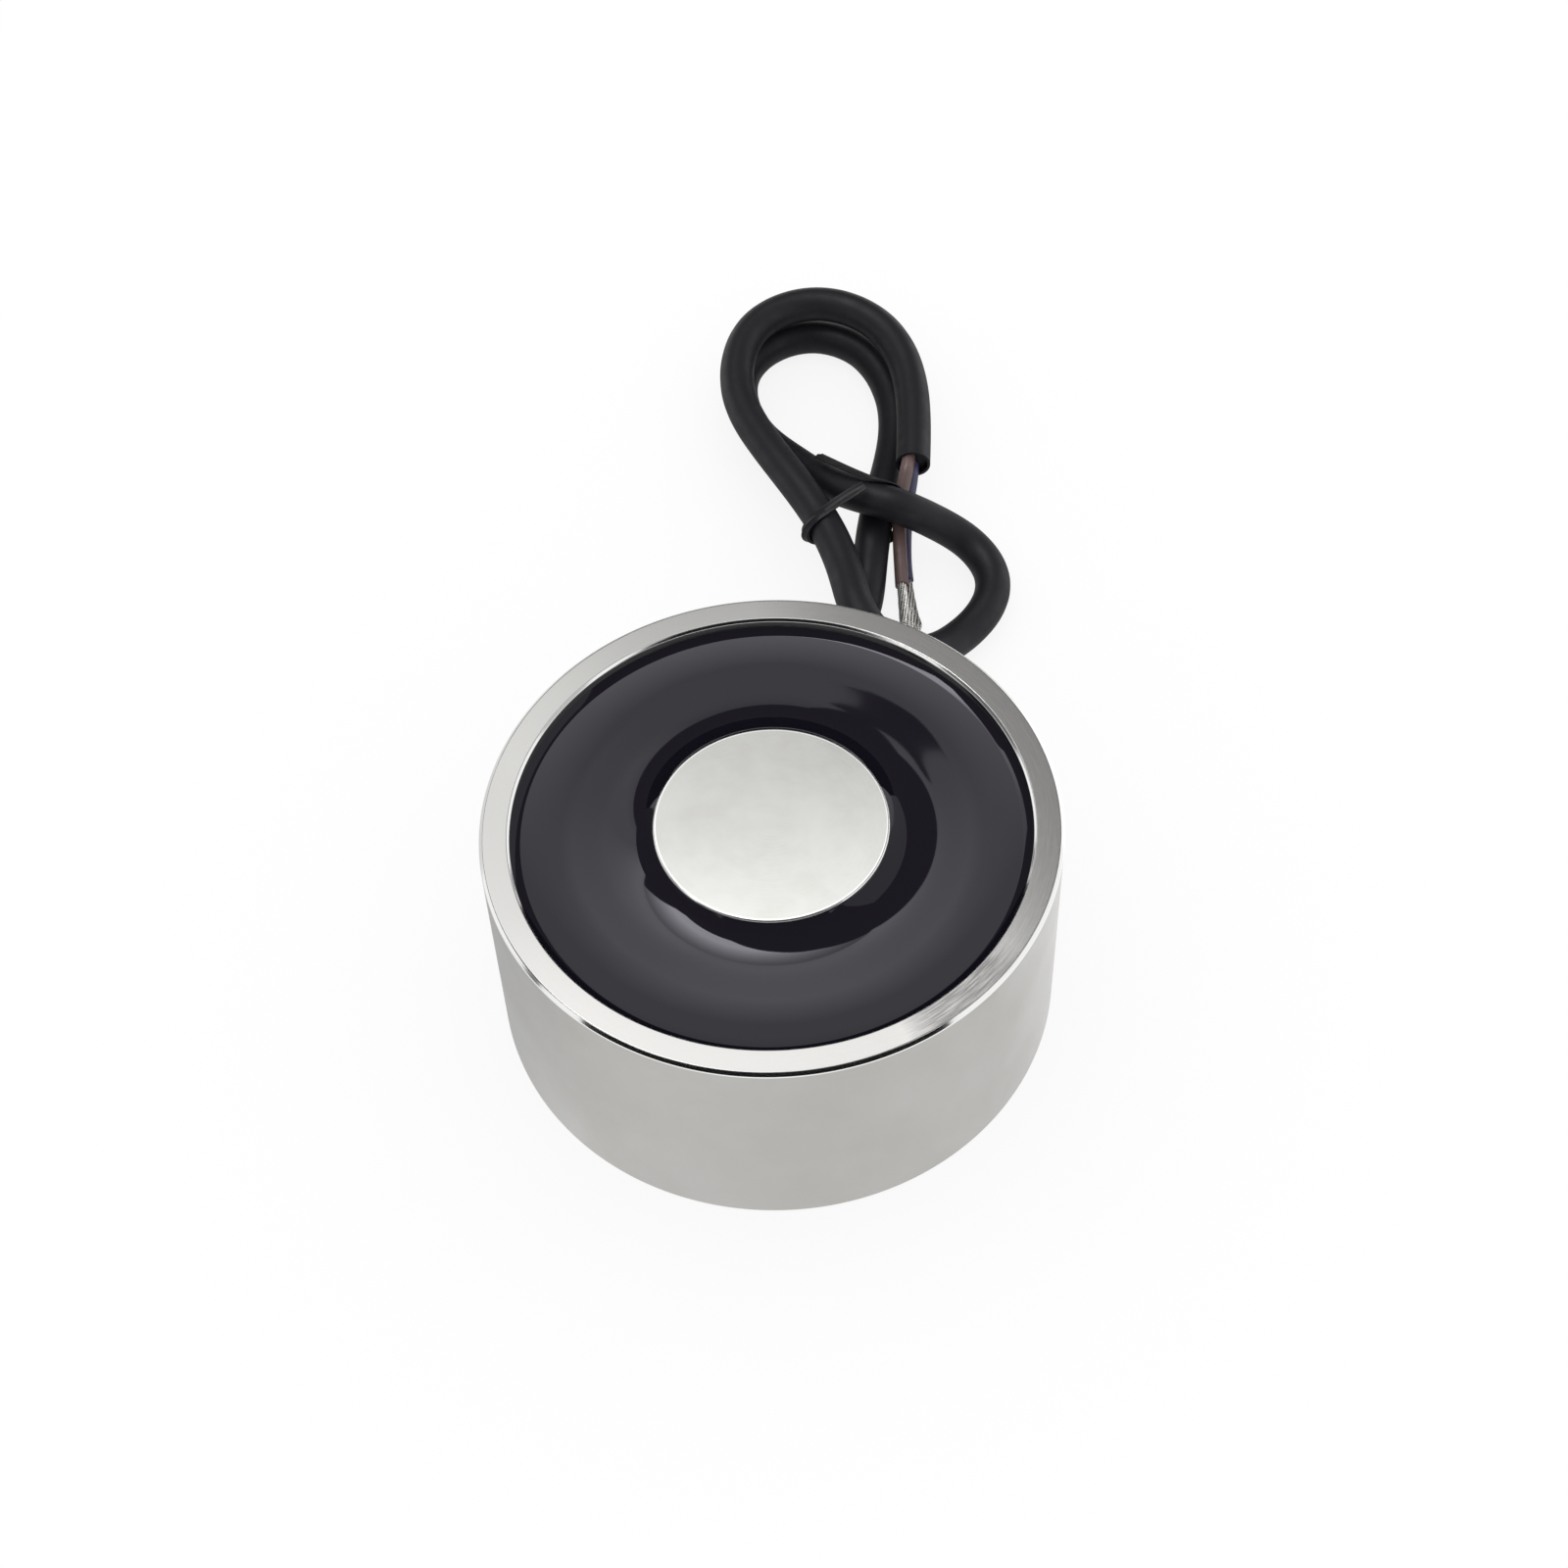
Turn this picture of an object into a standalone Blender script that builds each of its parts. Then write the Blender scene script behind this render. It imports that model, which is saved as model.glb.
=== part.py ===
"""A pot-type holding electromagnet with its potted coil and its tied two-core lead.

The part stands on the centre of its back face, +Z points out of the holding face, and the lead
leaves the wall towards +Y. Sizes are in millimetres and become metres where a mesh is made.
"""
import math

import bmesh
import bpy
import numpy as np

MM = 0.001
CLEARANCE = 0.3

# The turned steel pot with its centre pole
POT_DIAMETER = 65.0
POT_HEIGHT = 30.0
BASE_THICKNESS = 6.5
WALL_THICKNESS = 3.4
POLE_DIAMETER = 26.4
BACK_CHAMFER = 0.5
FACE_CHAMFER = 0.4
BORE_CHAMFER = 0.2
POLE_CHAMFER = 0.15

# The blind hole in the back face, at its tap drill size
SCREW_DRILL_DIAMETER = 6.8
SCREW_HOLE_DEPTH = 12.0
SCREW_COUNTERSINK = 0.8
DRILL_POINT_ANGLE = math.radians(118)

# The coil on its bobbin, which fills what the room for the wiring leaves
BOBBIN_WALL = 1.0
TAPE_THICKNESS = 0.6
FLANGE_OVERHANG = 0.4
WIRING_ROOM = 4.2

# The cast resin: a flat top that climbs the pole and the wall in a meniscus
RESIN_BELOW_FACE = 1.65
RESIN_OVER_COIL = 1.4
POLE_MENISCUS_RISE = 1.2
POLE_MENISCUS_REACH = 4.2
WALL_MENISCUS_RISE = 0.27
WALL_MENISCUS_REACH = 1.9

# The lead: a round sheath over two cores
SHEATH_DIAMETER = 4.6
CORE_DIAMETER = 1.8
STRAND_DIAMETER = 1.0
TIE_DIAMETER = 1.1
LEAD_HOLE_ANGLE = math.radians(10)
LEAD_HOLE_ABOVE_FLOOR = 0.1
SHEATH_INSET = 0.5
SHEATH_STRAIGHT_RUN = 3.65
SHEATH_DROOP = 0.2

# The joints inside the resin, with lengths along the circle that the wiring follows
CORE_SPREAD = 1.05
CORE_BEND = 3.2
CORE_LENGTH = 12.3
CORE_RISE = 3.6
SLEEVE_DIAMETER = 2.2
SLEEVE_LENGTH = 7.5
SLEEVE_CLEARANCE = 0.4
COIL_WIRE_DIAMETER = 0.8
COIL_WIRE_STRAIGHT = 1.5
COIL_WIRE_LENGTH = 7.6

# Fineness of the round shapes
POT_STEPS = 96
COIL_STEPS = 72
HOLE_SIDES = 32
MENISCUS_STEPS = 5
WIRING_STEPS = 4
SHEATH_SPACING = 4.0
WIRE_SPACING = 2.4
TIE_SPACING = 1.2
CURVE_READINGS_PER_MM = 8

POT_RADIUS = POT_DIAMETER / 2
CAVITY_RADIUS = POT_RADIUS - WALL_THICKNESS
POLE_RADIUS = POLE_DIAMETER / 2

RESIN_TOP = POT_HEIGHT - RESIN_BELOW_FACE
RESIN_BOTTOM = BASE_THICKNESS + CLEARANCE
RESIN_INNER_RADIUS = POLE_RADIUS + CLEARANCE
RESIN_OUTER_RADIUS = CAVITY_RADIUS - CLEARANCE

BOBBIN_BORE_RADIUS = POLE_RADIUS + CLEARANCE
BOBBIN_HUB_RADIUS = BOBBIN_BORE_RADIUS + BOBBIN_WALL
BOBBIN_BOTTOM = BASE_THICKNESS + CLEARANCE
BOBBIN_TOP = RESIN_TOP - RESIN_OVER_COIL - CLEARANCE
COIL_POCKET_RADIUS = RESIN_OUTER_RADIUS - WIRING_ROOM
FLANGE_RADIUS = COIL_POCKET_RADIUS - CLEARANCE
TAPE_RADIUS = FLANGE_RADIUS - FLANGE_OVERHANG
TAPE_BORE_RADIUS = TAPE_RADIUS - TAPE_THICKNESS
WINDING_RADIUS = TAPE_BORE_RADIUS - CLEARANCE
WINDING_BORE_RADIUS = BOBBIN_HUB_RADIUS + CLEARANCE
WINDING_BOTTOM = BOBBIN_BOTTOM + BOBBIN_WALL + CLEARANCE
WINDING_TOP = BOBBIN_TOP - BOBBIN_WALL - CLEARANCE
WIRING_RADIUS = (COIL_POCKET_RADIUS + RESIN_OUTER_RADIUS) / 2

LEAD_HOLE_DIAMETER = SHEATH_DIAMETER + 2 * CLEARANCE
LEAD_HEIGHT = BASE_THICKNESS + LEAD_HOLE_ABOVE_FLOOR + LEAD_HOLE_DIAMETER / 2
LEAD_DIRECTION = np.array((math.sin(LEAD_HOLE_ANGLE), math.cos(LEAD_HOLE_ANGLE), 0.0))
LEAD_ACROSS = np.array((math.cos(LEAD_HOLE_ANGLE), -math.sin(LEAD_HOLE_ANGLE), 0.0))
LEAD_MOUTH = LEAD_DIRECTION * POT_RADIUS
SHEATH_START_RADIUS = CAVITY_RADIUS + SHEATH_INSET
SLEEVE_START = CORE_LENGTH + CLEARANCE
COIL_WIRE_START = SLEEVE_START + SLEEVE_LENGTH + CLEARANCE
WIRING_HEIGHT = LEAD_HEIGHT + CORE_RISE

# The lead's route past its straight start, as (x, y) from the hole's mouth and z from the ground
SHEATH_ROUTE = (
    # down to the ground and out along it
    (2.4, 9.4, 7.0), (5.1, 15.2, 4.0), (7.5, 20.8, 2.6), (8.7, 27.0, 3.1), (9.7, 33.2, 4.0),
    (13.0, 47.8, 2.6), (13.8, 55.0, 2.4),
    # the inner loop on the ground
    (12.7, 62.0, 2.4), (9.0, 68.2, 2.4), (3.4, 70.7, 2.4), (-2.7, 68.9, 2.4), (-6.5, 63.8, 2.4),
    (-6.7, 57.8, 2.4), (-4.4, 51.8, 2.7), (-0.3, 46.0, 3.8),
    # over the outgoing run, under the tie, and round the small loop on the right
    (3.8, 40.0, 6.1), (7.8, 35.4, 8.5), (12.6, 32.8, 8.9), (17.6, 32.3, 5.9), (22.0, 30.6, 3.3),
    (24.5, 26.1, 2.4), (23.5, 20.4, 2.4), (19.4, 15.4, 2.5),
    # the turn behind the pot, and back over everything on the left
    (15.4, 12.2, 3.9), (10.8, 11.0, 6.6), (7.3, 13.6, 9.0), (5.6, 20.2, 9.1), (3.1, 30.2, 8.7),
    (-0.6, 38.4, 8.5), (-4.3, 46.2, 7.9), (-7.0, 54.0, 7.4),
    # the outer loop on top of the inner one, down to the cut end
    (-7.2, 61.4, 7.3), (-3.8, 69.0, 7.3), (3.8, 72.1, 7.3), (11.4, 68.4, 7.3), (15.4, 60.0, 7.3),
    (16.0, 51.2, 7.3), (15.3, 41.4, 7.3),
)
BROWN_CORE_ROUTE = (
    (14.5, 41.05, 8.2), (14.45, 40.1, 7.95), (14.3, 38.4, 7.05), (13.85, 36.3, 5.8), (13.3, 33.6, 4.8),
    (12.95, 30.2, 4.0), (12.8, 26.8, 3.5), (12.75, 23.8, 3.4),
)
BLUE_CORE_ROUTE = (
    (15.1, 41.0, 6.0), (15.0, 40.2, 5.65), (14.65, 38.8, 4.65), (14.25, 37.0, 3.6), (13.9, 34.6, 2.8),
    (13.6, 31.4, 2.15), (13.5, 28.6, 1.6), (13.55, 26.3, 1.45),
)
BROWN_STRAND_ROUTE = ((12.75, 23.5, 3.3), (12.8, 21.4, 2.4), (12.95, 18.6, 1.3))
BLUE_STRAND_ROUTE = ((13.6, 26.0, 1.4), (13.9, 22.6, 0.9), (14.35, 18.8, 0.8))
TIE_ROUTE = (
    # the tail, and over the bundle to the right
    (2.84, 42.74, 8.4), (4.52, 40.66, 9.4), (6.19, 38.1, 10.75), (8.0, 35.7, 11.85), (10.2, 34.2, 12.25),
    (12.4, 33.5, 12.15), (14.1, 33.9, 11.5), (15.3, 35.1, 9.8), (16.0, 36.0, 7.3), (16.15, 36.3, 4.6),
    # back under it
    (15.75, 36.1, 2.2), (14.2, 35.6, 0.9), (11.9, 34.4, 0.75), (9.0, 32.3, 0.75), (5.6, 31.0, 2.4),
    # up on the left, and over the bundle to the tail
    (2.8, 30.0, 5.1), (0.8, 29.3, 6.6), (0.1, 28.8, 8.9), (1.0, 28.7, 11.0), (2.75, 29.6, 11.9),
    (4.75, 31.7, 11.6), (6.9, 33.1, 11.9), (8.4, 33.2, 12.7),
)


def clear_scene():
    for old in list(bpy.data.objects):
        bpy.data.objects.remove(old)


def finish(name, colour, roughness, metallic=0.0):
    """A plain material with one colour, one roughness and one metallic value."""
    material = bpy.data.materials.new(name)
    material.use_nodes = True
    shader = material.node_tree.nodes["Principled BSDF"]
    shader.inputs["Base Color"].default_value = (*colour, 1.0)
    shader.inputs["Roughness"].default_value = roughness
    shader.inputs["Metallic"].default_value = metallic
    return material


def add_object(name, data, material):
    piece = bpy.data.objects.new(name, data)
    data.materials.append(material)
    bpy.context.scene.collection.objects.link(piece)
    return piece


def turned(name, outline, material, steps):
    """A solid turned about Z from (radius, height) points.

    An outline that starts on the axis ends on it too, and any other outline is a closed ring.
    """
    mesh = bmesh.new()
    corners = [mesh.verts.new((radius * MM, 0.0, height * MM)) for radius, height in outline]
    edges = [mesh.edges.new(pair) for pair in zip(corners, corners[1:])]
    if outline[0][0] > 0:
        edges.append(mesh.edges.new((corners[-1], corners[0])))
    bmesh.ops.spin(
        mesh, geom=corners + edges, cent=(0, 0, 0), axis=(0, 0, 1),
        angle=math.tau, steps=steps, use_merge=True,
    )
    bmesh.ops.remove_doubles(mesh, verts=mesh.verts, dist=0.0001 * MM)
    bmesh.ops.recalc_face_normals(mesh, faces=mesh.faces)
    data = bpy.data.meshes.new(name)
    mesh.to_mesh(data)
    mesh.free()
    data.shade_smooth()
    data.set_sharp_from_angle(angle=math.radians(30))
    return add_object(name, data, material)


def curve_through(points, spacing):
    """Evenly spaced points on the natural cubic spline through the given ones."""
    knots = np.array(points, float)
    spans = np.linalg.norm(np.diff(knots, axis=0), axis=1)
    reach = np.concatenate(([0.0], np.cumsum(spans)))
    last = len(knots) - 1
    system = np.eye(last + 1)
    bends = np.zeros_like(knots)
    for i in range(1, last):
        system[i, i - 1:i + 2] = spans[i - 1], 2 * (spans[i - 1] + spans[i]), spans[i]
        ahead = (knots[i + 1] - knots[i]) / spans[i]
        behind = (knots[i] - knots[i - 1]) / spans[i - 1]
        bends[i] = 6 * (ahead - behind)
    second = np.linalg.solve(system, bends)
    where = np.linspace(0.0, reach[-1], int(reach[-1] * CURVE_READINGS_PER_MM))
    span = np.clip(np.searchsorted(reach, where, side="right") - 1, 0, last - 1)
    before = ((reach[span + 1] - where) / spans[span])[:, None]
    after = 1 - before
    sixth = (spans[span] ** 2 / 6)[:, None]
    fine = (
        before * knots[span] + after * knots[span + 1]
        + ((before ** 3 - before) * second[span] + (after ** 3 - after) * second[span + 1]) * sixth
    )
    run = np.concatenate(([0.0], np.cumsum(np.linalg.norm(np.diff(fine, axis=0), axis=1))))
    even = np.linspace(0.0, run[-1], max(3, round(run[-1] / spacing) + 1))
    return np.column_stack([np.interp(even, run, fine[:, axis]) for axis in range(3)])


def tube(name, points, diameter, material, bevel_resolution=2):
    """A round cord along the points, with flat ends."""
    curve = bpy.data.curves.new(name, "CURVE")
    curve.dimensions = "3D"
    curve.bevel_depth = diameter / 2 * MM
    curve.bevel_resolution = bevel_resolution
    curve.use_fill_caps = True
    spline = curve.splines.new("POLY")
    spline.points.add(len(points) - 1)
    for point, place in zip(spline.points, points):
        point.co = (*(place * MM), 1.0)
    return add_object(name, curve, material)


def make_cutter(piece):
    piece.hide_render = True
    piece.display_type = "WIRE"


def cut(piece, cutter):
    boolean = piece.modifiers.new("cut by " + cutter.name, "BOOLEAN")
    boolean.operation = "DIFFERENCE"
    boolean.object = cutter


def pot_body(steel):
    """The pot and its pole, turned from one bar, with the screw hole in its back."""
    drill = SCREW_DRILL_DIAMETER / 2
    point_depth = drill / math.tan(DRILL_POINT_ANGLE / 2)
    outline = (
        (0.0, SCREW_HOLE_DEPTH + point_depth),
        (drill, SCREW_HOLE_DEPTH),
        (drill, SCREW_COUNTERSINK),
        (drill + SCREW_COUNTERSINK, 0.0),
        (POT_RADIUS - BACK_CHAMFER, 0.0),
        (POT_RADIUS, BACK_CHAMFER),
        (POT_RADIUS, POT_HEIGHT - FACE_CHAMFER),
        (POT_RADIUS - FACE_CHAMFER, POT_HEIGHT),
        (CAVITY_RADIUS + BORE_CHAMFER, POT_HEIGHT),
        (CAVITY_RADIUS, POT_HEIGHT - BORE_CHAMFER),
        (CAVITY_RADIUS, BASE_THICKNESS),
        (POLE_RADIUS, BASE_THICKNESS),
        (POLE_RADIUS, POT_HEIGHT - POLE_CHAMFER),
        (POLE_RADIUS - POLE_CHAMFER, POT_HEIGHT),
        (0.0, POT_HEIGHT),
    )
    pot = turned("pot_body", outline, steel, POT_STEPS)
    cut(pot, lead_hole(steel))
    return pot


def lead_hole(material):
    """The cutter for the radial hole through the wall that the lead leaves by."""
    overshoot = 1.0
    length = WALL_THICKNESS + 2 * overshoot
    middle = LEAD_DIRECTION * (CAVITY_RADIUS + WALL_THICKNESS / 2)
    mesh = bmesh.new()
    bmesh.ops.create_cone(
        mesh, cap_ends=True, segments=HOLE_SIDES, radius1=LEAD_HOLE_DIAMETER / 2 * MM,
        radius2=LEAD_HOLE_DIAMETER / 2 * MM, depth=length * MM,
    )
    data = bpy.data.meshes.new("lead_hole_cutter")
    mesh.to_mesh(data)
    mesh.free()
    cutter = add_object("lead_hole_cutter", data, material)
    cutter.rotation_euler = (math.radians(-90), 0.0, -LEAD_HOLE_ANGLE)
    cutter.location = (middle[0] * MM, middle[1] * MM, LEAD_HEIGHT * MM)
    make_cutter(cutter)
    return cutter


def coil_bobbin(plastic):
    outline = (
        (BOBBIN_BORE_RADIUS, BOBBIN_BOTTOM),
        (FLANGE_RADIUS, BOBBIN_BOTTOM),
        (FLANGE_RADIUS, BOBBIN_BOTTOM + BOBBIN_WALL),
        (BOBBIN_HUB_RADIUS, BOBBIN_BOTTOM + BOBBIN_WALL),
        (BOBBIN_HUB_RADIUS, BOBBIN_TOP - BOBBIN_WALL),
        (FLANGE_RADIUS, BOBBIN_TOP - BOBBIN_WALL),
        (FLANGE_RADIUS, BOBBIN_TOP),
        (BOBBIN_BORE_RADIUS, BOBBIN_TOP),
    )
    return turned("coil_bobbin", outline, plastic, COIL_STEPS)


def ring(name, bore_radius, radius, bottom, top, material):
    outline = ((bore_radius, bottom), (radius, bottom), (radius, top), (bore_radius, top))
    return turned(name, outline, material, COIL_STEPS)


def around(radius, run, height, side):
    """A place in the cavity, with its run along the wiring's circle from the lead hole."""
    turn = LEAD_HOLE_ANGLE + side * run / WIRING_RADIUS
    return radius * math.sin(turn), radius * math.cos(turn), height


def beside_hole(radius, side):
    """A place on the line that one core takes through the lead hole."""
    across = LEAD_ACROSS * side * CORE_SPREAD
    return tuple(LEAD_DIRECTION * radius + across + np.array((0.0, 0.0, LEAD_HEIGHT)))


def core_path(side):
    """From the sheath's end in the wall, round behind the coil and up to the sleeve."""
    start = SHEATH_START_RADIUS - CLEARANCE
    points = [beside_hole(start, side), beside_hole(start - CORE_DIAMETER / 2, side)]
    for step in range(WIRING_STEPS + 1):
        share = step / WIRING_STEPS
        run = CORE_BEND + (CORE_LENGTH - CORE_BEND) * share
        points.append(around(WIRING_RADIUS, run, LEAD_HEIGHT + CORE_RISE * share, side))
    return points


def sleeve_path(side):
    points = []
    for step in range(WIRING_STEPS + 1):
        run = SLEEVE_START + SLEEVE_LENGTH * step / WIRING_STEPS
        points.append(around(WIRING_RADIUS, run, WIRING_HEIGHT, side))
    return points


def wire_path(side):
    """From the sleeve in to the winding's tape, where the wire lies along it."""
    lying_radius = TAPE_RADIUS + CLEARANCE + COIL_WIRE_DIAMETER / 2
    points = [around(WIRING_RADIUS, COIL_WIRE_START, WIRING_HEIGHT, side)]
    for step in range(WIRING_STEPS + 1):
        share = step / WIRING_STEPS
        eased = share * share * (3 - 2 * share)
        radius = WIRING_RADIUS + (lying_radius - WIRING_RADIUS) * eased
        run = COIL_WIRE_START + COIL_WIRE_STRAIGHT + (COIL_WIRE_LENGTH - COIL_WIRE_STRAIGHT) * share
        points.append(around(radius, run, WIRING_HEIGHT, side))
    return points


def wiring_channel(name, side, material):
    """The cutter for the space in the resin round one core, its sleeve and its wire."""
    diameter = SLEEVE_DIAMETER + 2 * SLEEVE_CLEARANCE
    outside = beside_hole(POT_RADIUS, side)
    past_wire = COIL_WIRE_START + COIL_WIRE_LENGTH + diameter / 2
    beyond = around(TAPE_RADIUS, past_wire, WIRING_HEIGHT, side)
    route = [outside] + core_path(side) + sleeve_path(side)[1:-1] + wire_path(side)[1:] + [beyond]
    guide = tube(name + "_guide", curve_through(route, WIRE_SPACING), diameter, material)
    make_cutter(guide)
    data = bpy.data.meshes.new_from_object(guide)
    cutter = bpy.data.objects.new(name, data)
    bpy.context.scene.collection.objects.link(cutter)
    make_cutter(cutter)
    return cutter


def meniscus(contact_radius, side, rise, reach):
    """(radius, height) points from where the resin meets a wall down to its flat top."""
    points = []
    for step in range(MENISCUS_STEPS + 1):
        share = step / MENISCUS_STEPS
        height = RESIN_TOP + rise * (1 - share) ** 3
        points.append((contact_radius + side * reach * share, height))
    return points


def potting_resin(resin):
    at_pole = meniscus(RESIN_INNER_RADIUS, 1, POLE_MENISCUS_RISE, POLE_MENISCUS_REACH)
    at_wall = meniscus(RESIN_OUTER_RADIUS, -1, WALL_MENISCUS_RISE, WALL_MENISCUS_REACH)
    underside = [
        (RESIN_OUTER_RADIUS, RESIN_BOTTOM),
        (COIL_POCKET_RADIUS, RESIN_BOTTOM),
        (COIL_POCKET_RADIUS, BOBBIN_TOP + CLEARANCE),
        (RESIN_INNER_RADIUS, BOBBIN_TOP + CLEARANCE),
    ]
    outline = at_pole + at_wall[::-1] + underside
    casting = turned("potting_resin", outline, resin, POT_STEPS)
    for name, side in (("start_wiring_channel", -1), ("finish_wiring_channel", 1)):
        cut(casting, wiring_channel(name, side, resin))
    return casting


def wiring(brown, blue, heat_shrink, enamel):
    """The lead's cores, the sleeves on their joints and the winding's two ends."""
    sides = (
        (-1, "start", "brown_core_inside", brown),
        (1, "finish", "blue_core_inside", blue),
    )
    for side, end, core_name, insulation in sides:
        tube(core_name, curve_through(core_path(side), WIRE_SPACING), CORE_DIAMETER, insulation)
        sleeve = curve_through(sleeve_path(side), WIRE_SPACING)
        tube(end + "_splice_sleeve", sleeve, SLEEVE_DIAMETER, heat_shrink)
        wire = curve_through(wire_path(side), WIRE_SPACING)
        tube("coil_" + end + "_lead", wire, COIL_WIRE_DIAMETER, enamel)


def from_mouth(route):
    """Lead points given from the hole's mouth, as places in the part's frame."""
    return [(x + LEAD_MOUTH[0], y + LEAD_MOUTH[1], z) for x, y, z in route]


def lead(black, brown, blue, tinned, tie):
    """The lead as it lies tied behind the pot, with its two stripped cores."""
    start = LEAD_DIRECTION * SHEATH_START_RADIUS
    straight = LEAD_DIRECTION * (POT_RADIUS + SHEATH_STRAIGHT_RUN)
    route = [(start[0], start[1], LEAD_HEIGHT), (straight[0], straight[1], LEAD_HEIGHT - SHEATH_DROOP)]
    route += from_mouth(SHEATH_ROUTE)
    tube("cable_sheath", curve_through(route, SHEATH_SPACING), SHEATH_DIAMETER, black, 3)
    stripped = (
        ("brown_core_end", BROWN_CORE_ROUTE, CORE_DIAMETER, brown),
        ("blue_core_end", BLUE_CORE_ROUTE, CORE_DIAMETER, blue),
        ("brown_strands", BROWN_STRAND_ROUTE, STRAND_DIAMETER, tinned),
        ("blue_strands", BLUE_STRAND_ROUTE, STRAND_DIAMETER, tinned),
    )
    for name, points, diameter, material in stripped:
        tube(name, curve_through(from_mouth(points), WIRE_SPACING), diameter, material)
    tube("cable_tie", curve_through(from_mouth(TIE_ROUTE), TIE_SPACING), TIE_DIAMETER, tie)


def build():
    clear_scene()
    steel = finish("nickel_plated_steel", (0.62, 0.61, 0.59), 0.32, 1.0)
    plastic = finish("bobbin_plastic", (0.75, 0.74, 0.70), 0.5)
    copper = finish("enamelled_copper", (0.72, 0.30, 0.14), 0.35, 1.0)
    tape = finish("polyester_tape", (0.72, 0.55, 0.10), 0.4)
    resin = finish("black_resin", (0.012, 0.012, 0.014), 0.12)
    black = finish("black_sheath", (0.02, 0.02, 0.022), 0.45)
    brown = finish("brown_insulation", (0.14, 0.075, 0.055), 0.45)
    blue = finish("blue_insulation", (0.06, 0.09, 0.25), 0.45)
    tinned = finish("tinned_strands", (0.66, 0.66, 0.64), 0.35, 1.0)
    heat_shrink = finish("heat_shrink", (0.03, 0.03, 0.03), 0.5)
    tie = finish("black_tie", (0.015, 0.015, 0.016), 0.4)

    pot_body(steel)
    coil_bobbin(plastic)
    ring("coil_winding", WINDING_BORE_RADIUS, WINDING_RADIUS, WINDING_BOTTOM, WINDING_TOP, copper)
    ring("winding_tape", TAPE_BORE_RADIUS, TAPE_RADIUS, WINDING_BOTTOM, WINDING_TOP, tape)
    wiring(brown, blue, heat_shrink, copper)
    potting_resin(resin)
    lead(black, brown, blue, tinned, tie)


build()
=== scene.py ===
"""The finished look of a pot-type holding electromagnet with its tied two-core lead.

Sizes are in metres. The pot stands on its back face round the Z axis, and its lead leaves the wall
towards +Y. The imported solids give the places, and the pieces made here stand for them.
"""

import math

import bmesh
import bpy
import numpy as np
from mathutils import Matrix, Vector


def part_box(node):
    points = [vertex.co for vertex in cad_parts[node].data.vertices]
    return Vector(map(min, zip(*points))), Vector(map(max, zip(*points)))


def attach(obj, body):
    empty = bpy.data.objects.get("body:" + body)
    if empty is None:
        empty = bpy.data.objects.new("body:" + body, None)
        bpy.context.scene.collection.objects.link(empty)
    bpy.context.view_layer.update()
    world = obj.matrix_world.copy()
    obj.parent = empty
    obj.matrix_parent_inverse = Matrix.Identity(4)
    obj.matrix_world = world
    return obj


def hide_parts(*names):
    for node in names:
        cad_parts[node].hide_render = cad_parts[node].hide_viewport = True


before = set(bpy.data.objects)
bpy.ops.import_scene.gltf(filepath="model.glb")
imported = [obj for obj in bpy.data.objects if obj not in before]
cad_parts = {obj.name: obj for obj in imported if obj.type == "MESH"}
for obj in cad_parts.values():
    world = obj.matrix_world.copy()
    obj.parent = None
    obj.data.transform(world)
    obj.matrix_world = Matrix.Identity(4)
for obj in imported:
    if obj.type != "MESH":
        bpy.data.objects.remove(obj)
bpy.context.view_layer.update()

# The pot and the resin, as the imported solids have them
POT_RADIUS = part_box("pot_body")[1].x
POT_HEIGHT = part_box("pot_body")[1].z
BASE_THICKNESS = 0.0065
CAVITY_RADIUS = POT_RADIUS - 0.0034
POLE_RADIUS = 0.0132
BACK_CHAMFER = 0.0005
FACE_CHAMFER = 0.0004
BORE_CHAMFER = 0.0003
POLE_CHAMFER = 0.00015
EDGE_ROUNDING = 0.00005
SHOULDER_ROUNDING = 0.00012
EDGE_SUPPORT = 0.0001
COIL_POCKET_RADIUS = 0.0246
COIL_POCKET_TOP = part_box("coil_bobbin")[1].z + 0.0003
RESIN_TOP = POT_HEIGHT - 0.00165
POLE_MENISCUS_RISE = 0.0012
POLE_MENISCUS_REACH = 0.0090
POLE_MENISCUS_FALL = 5
WALL_MENISCUS_RISE = 0.00042
WALL_MENISCUS_REACH = 0.0011
WALL_MENISCUS_FALL = 1.2
RESIN_OVERLAP = 0.00002

# The threaded hole in the back face, and the windings inside
THREAD_RADIUS = 0.0040
THREAD_CREST_RADIUS = 0.0034
THREAD_PITCH = 0.00125
THREAD_CREST_WIDTH = 0.0003
THREAD_ROOT_WIDTH = 0.0011
THREAD_START = 0.0012
THREAD_TURNS = 8
THREAD_STEPS = 48
SCREW_HOLE_DEPTH = 0.012
SCREW_COUNTERSINK = 0.0008
DRILL_POINT_ANGLE = math.radians(118)
WIRE_TURN_HEIGHT = 0.00042
TAPE_LAP_HEIGHT = 0.0058

# The lead
SHEATH_DIAMETER = 0.0046
CORE_DIAMETER = 0.0018
LEAD_HOLE_DIAMETER = 0.0052
LEAD_HOLE_FLARE = 0.0003
LEAD_HOLE_OVERSHOOT = 0.001
LEAD_HOLE_ANGLE = math.radians(10)
LEAD_HEIGHT = 0.0092
LEAD_SEAL_DISH = 0.0001
SHEATH_INSET = 0.0005
SHEATH_STRAIGHT_RUN = 0.00365
SHEATH_DROOP = 0.0002
SHEATH_WALL = 0.00035
SHEATH_END_DEPTH = 0.0008
CORE_WALL = 0.0003
CORE_END_DEPTH = 0.0003
CORE_START_SPREAD = 0.00095
CORE_TUCK = 0.0012

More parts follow.
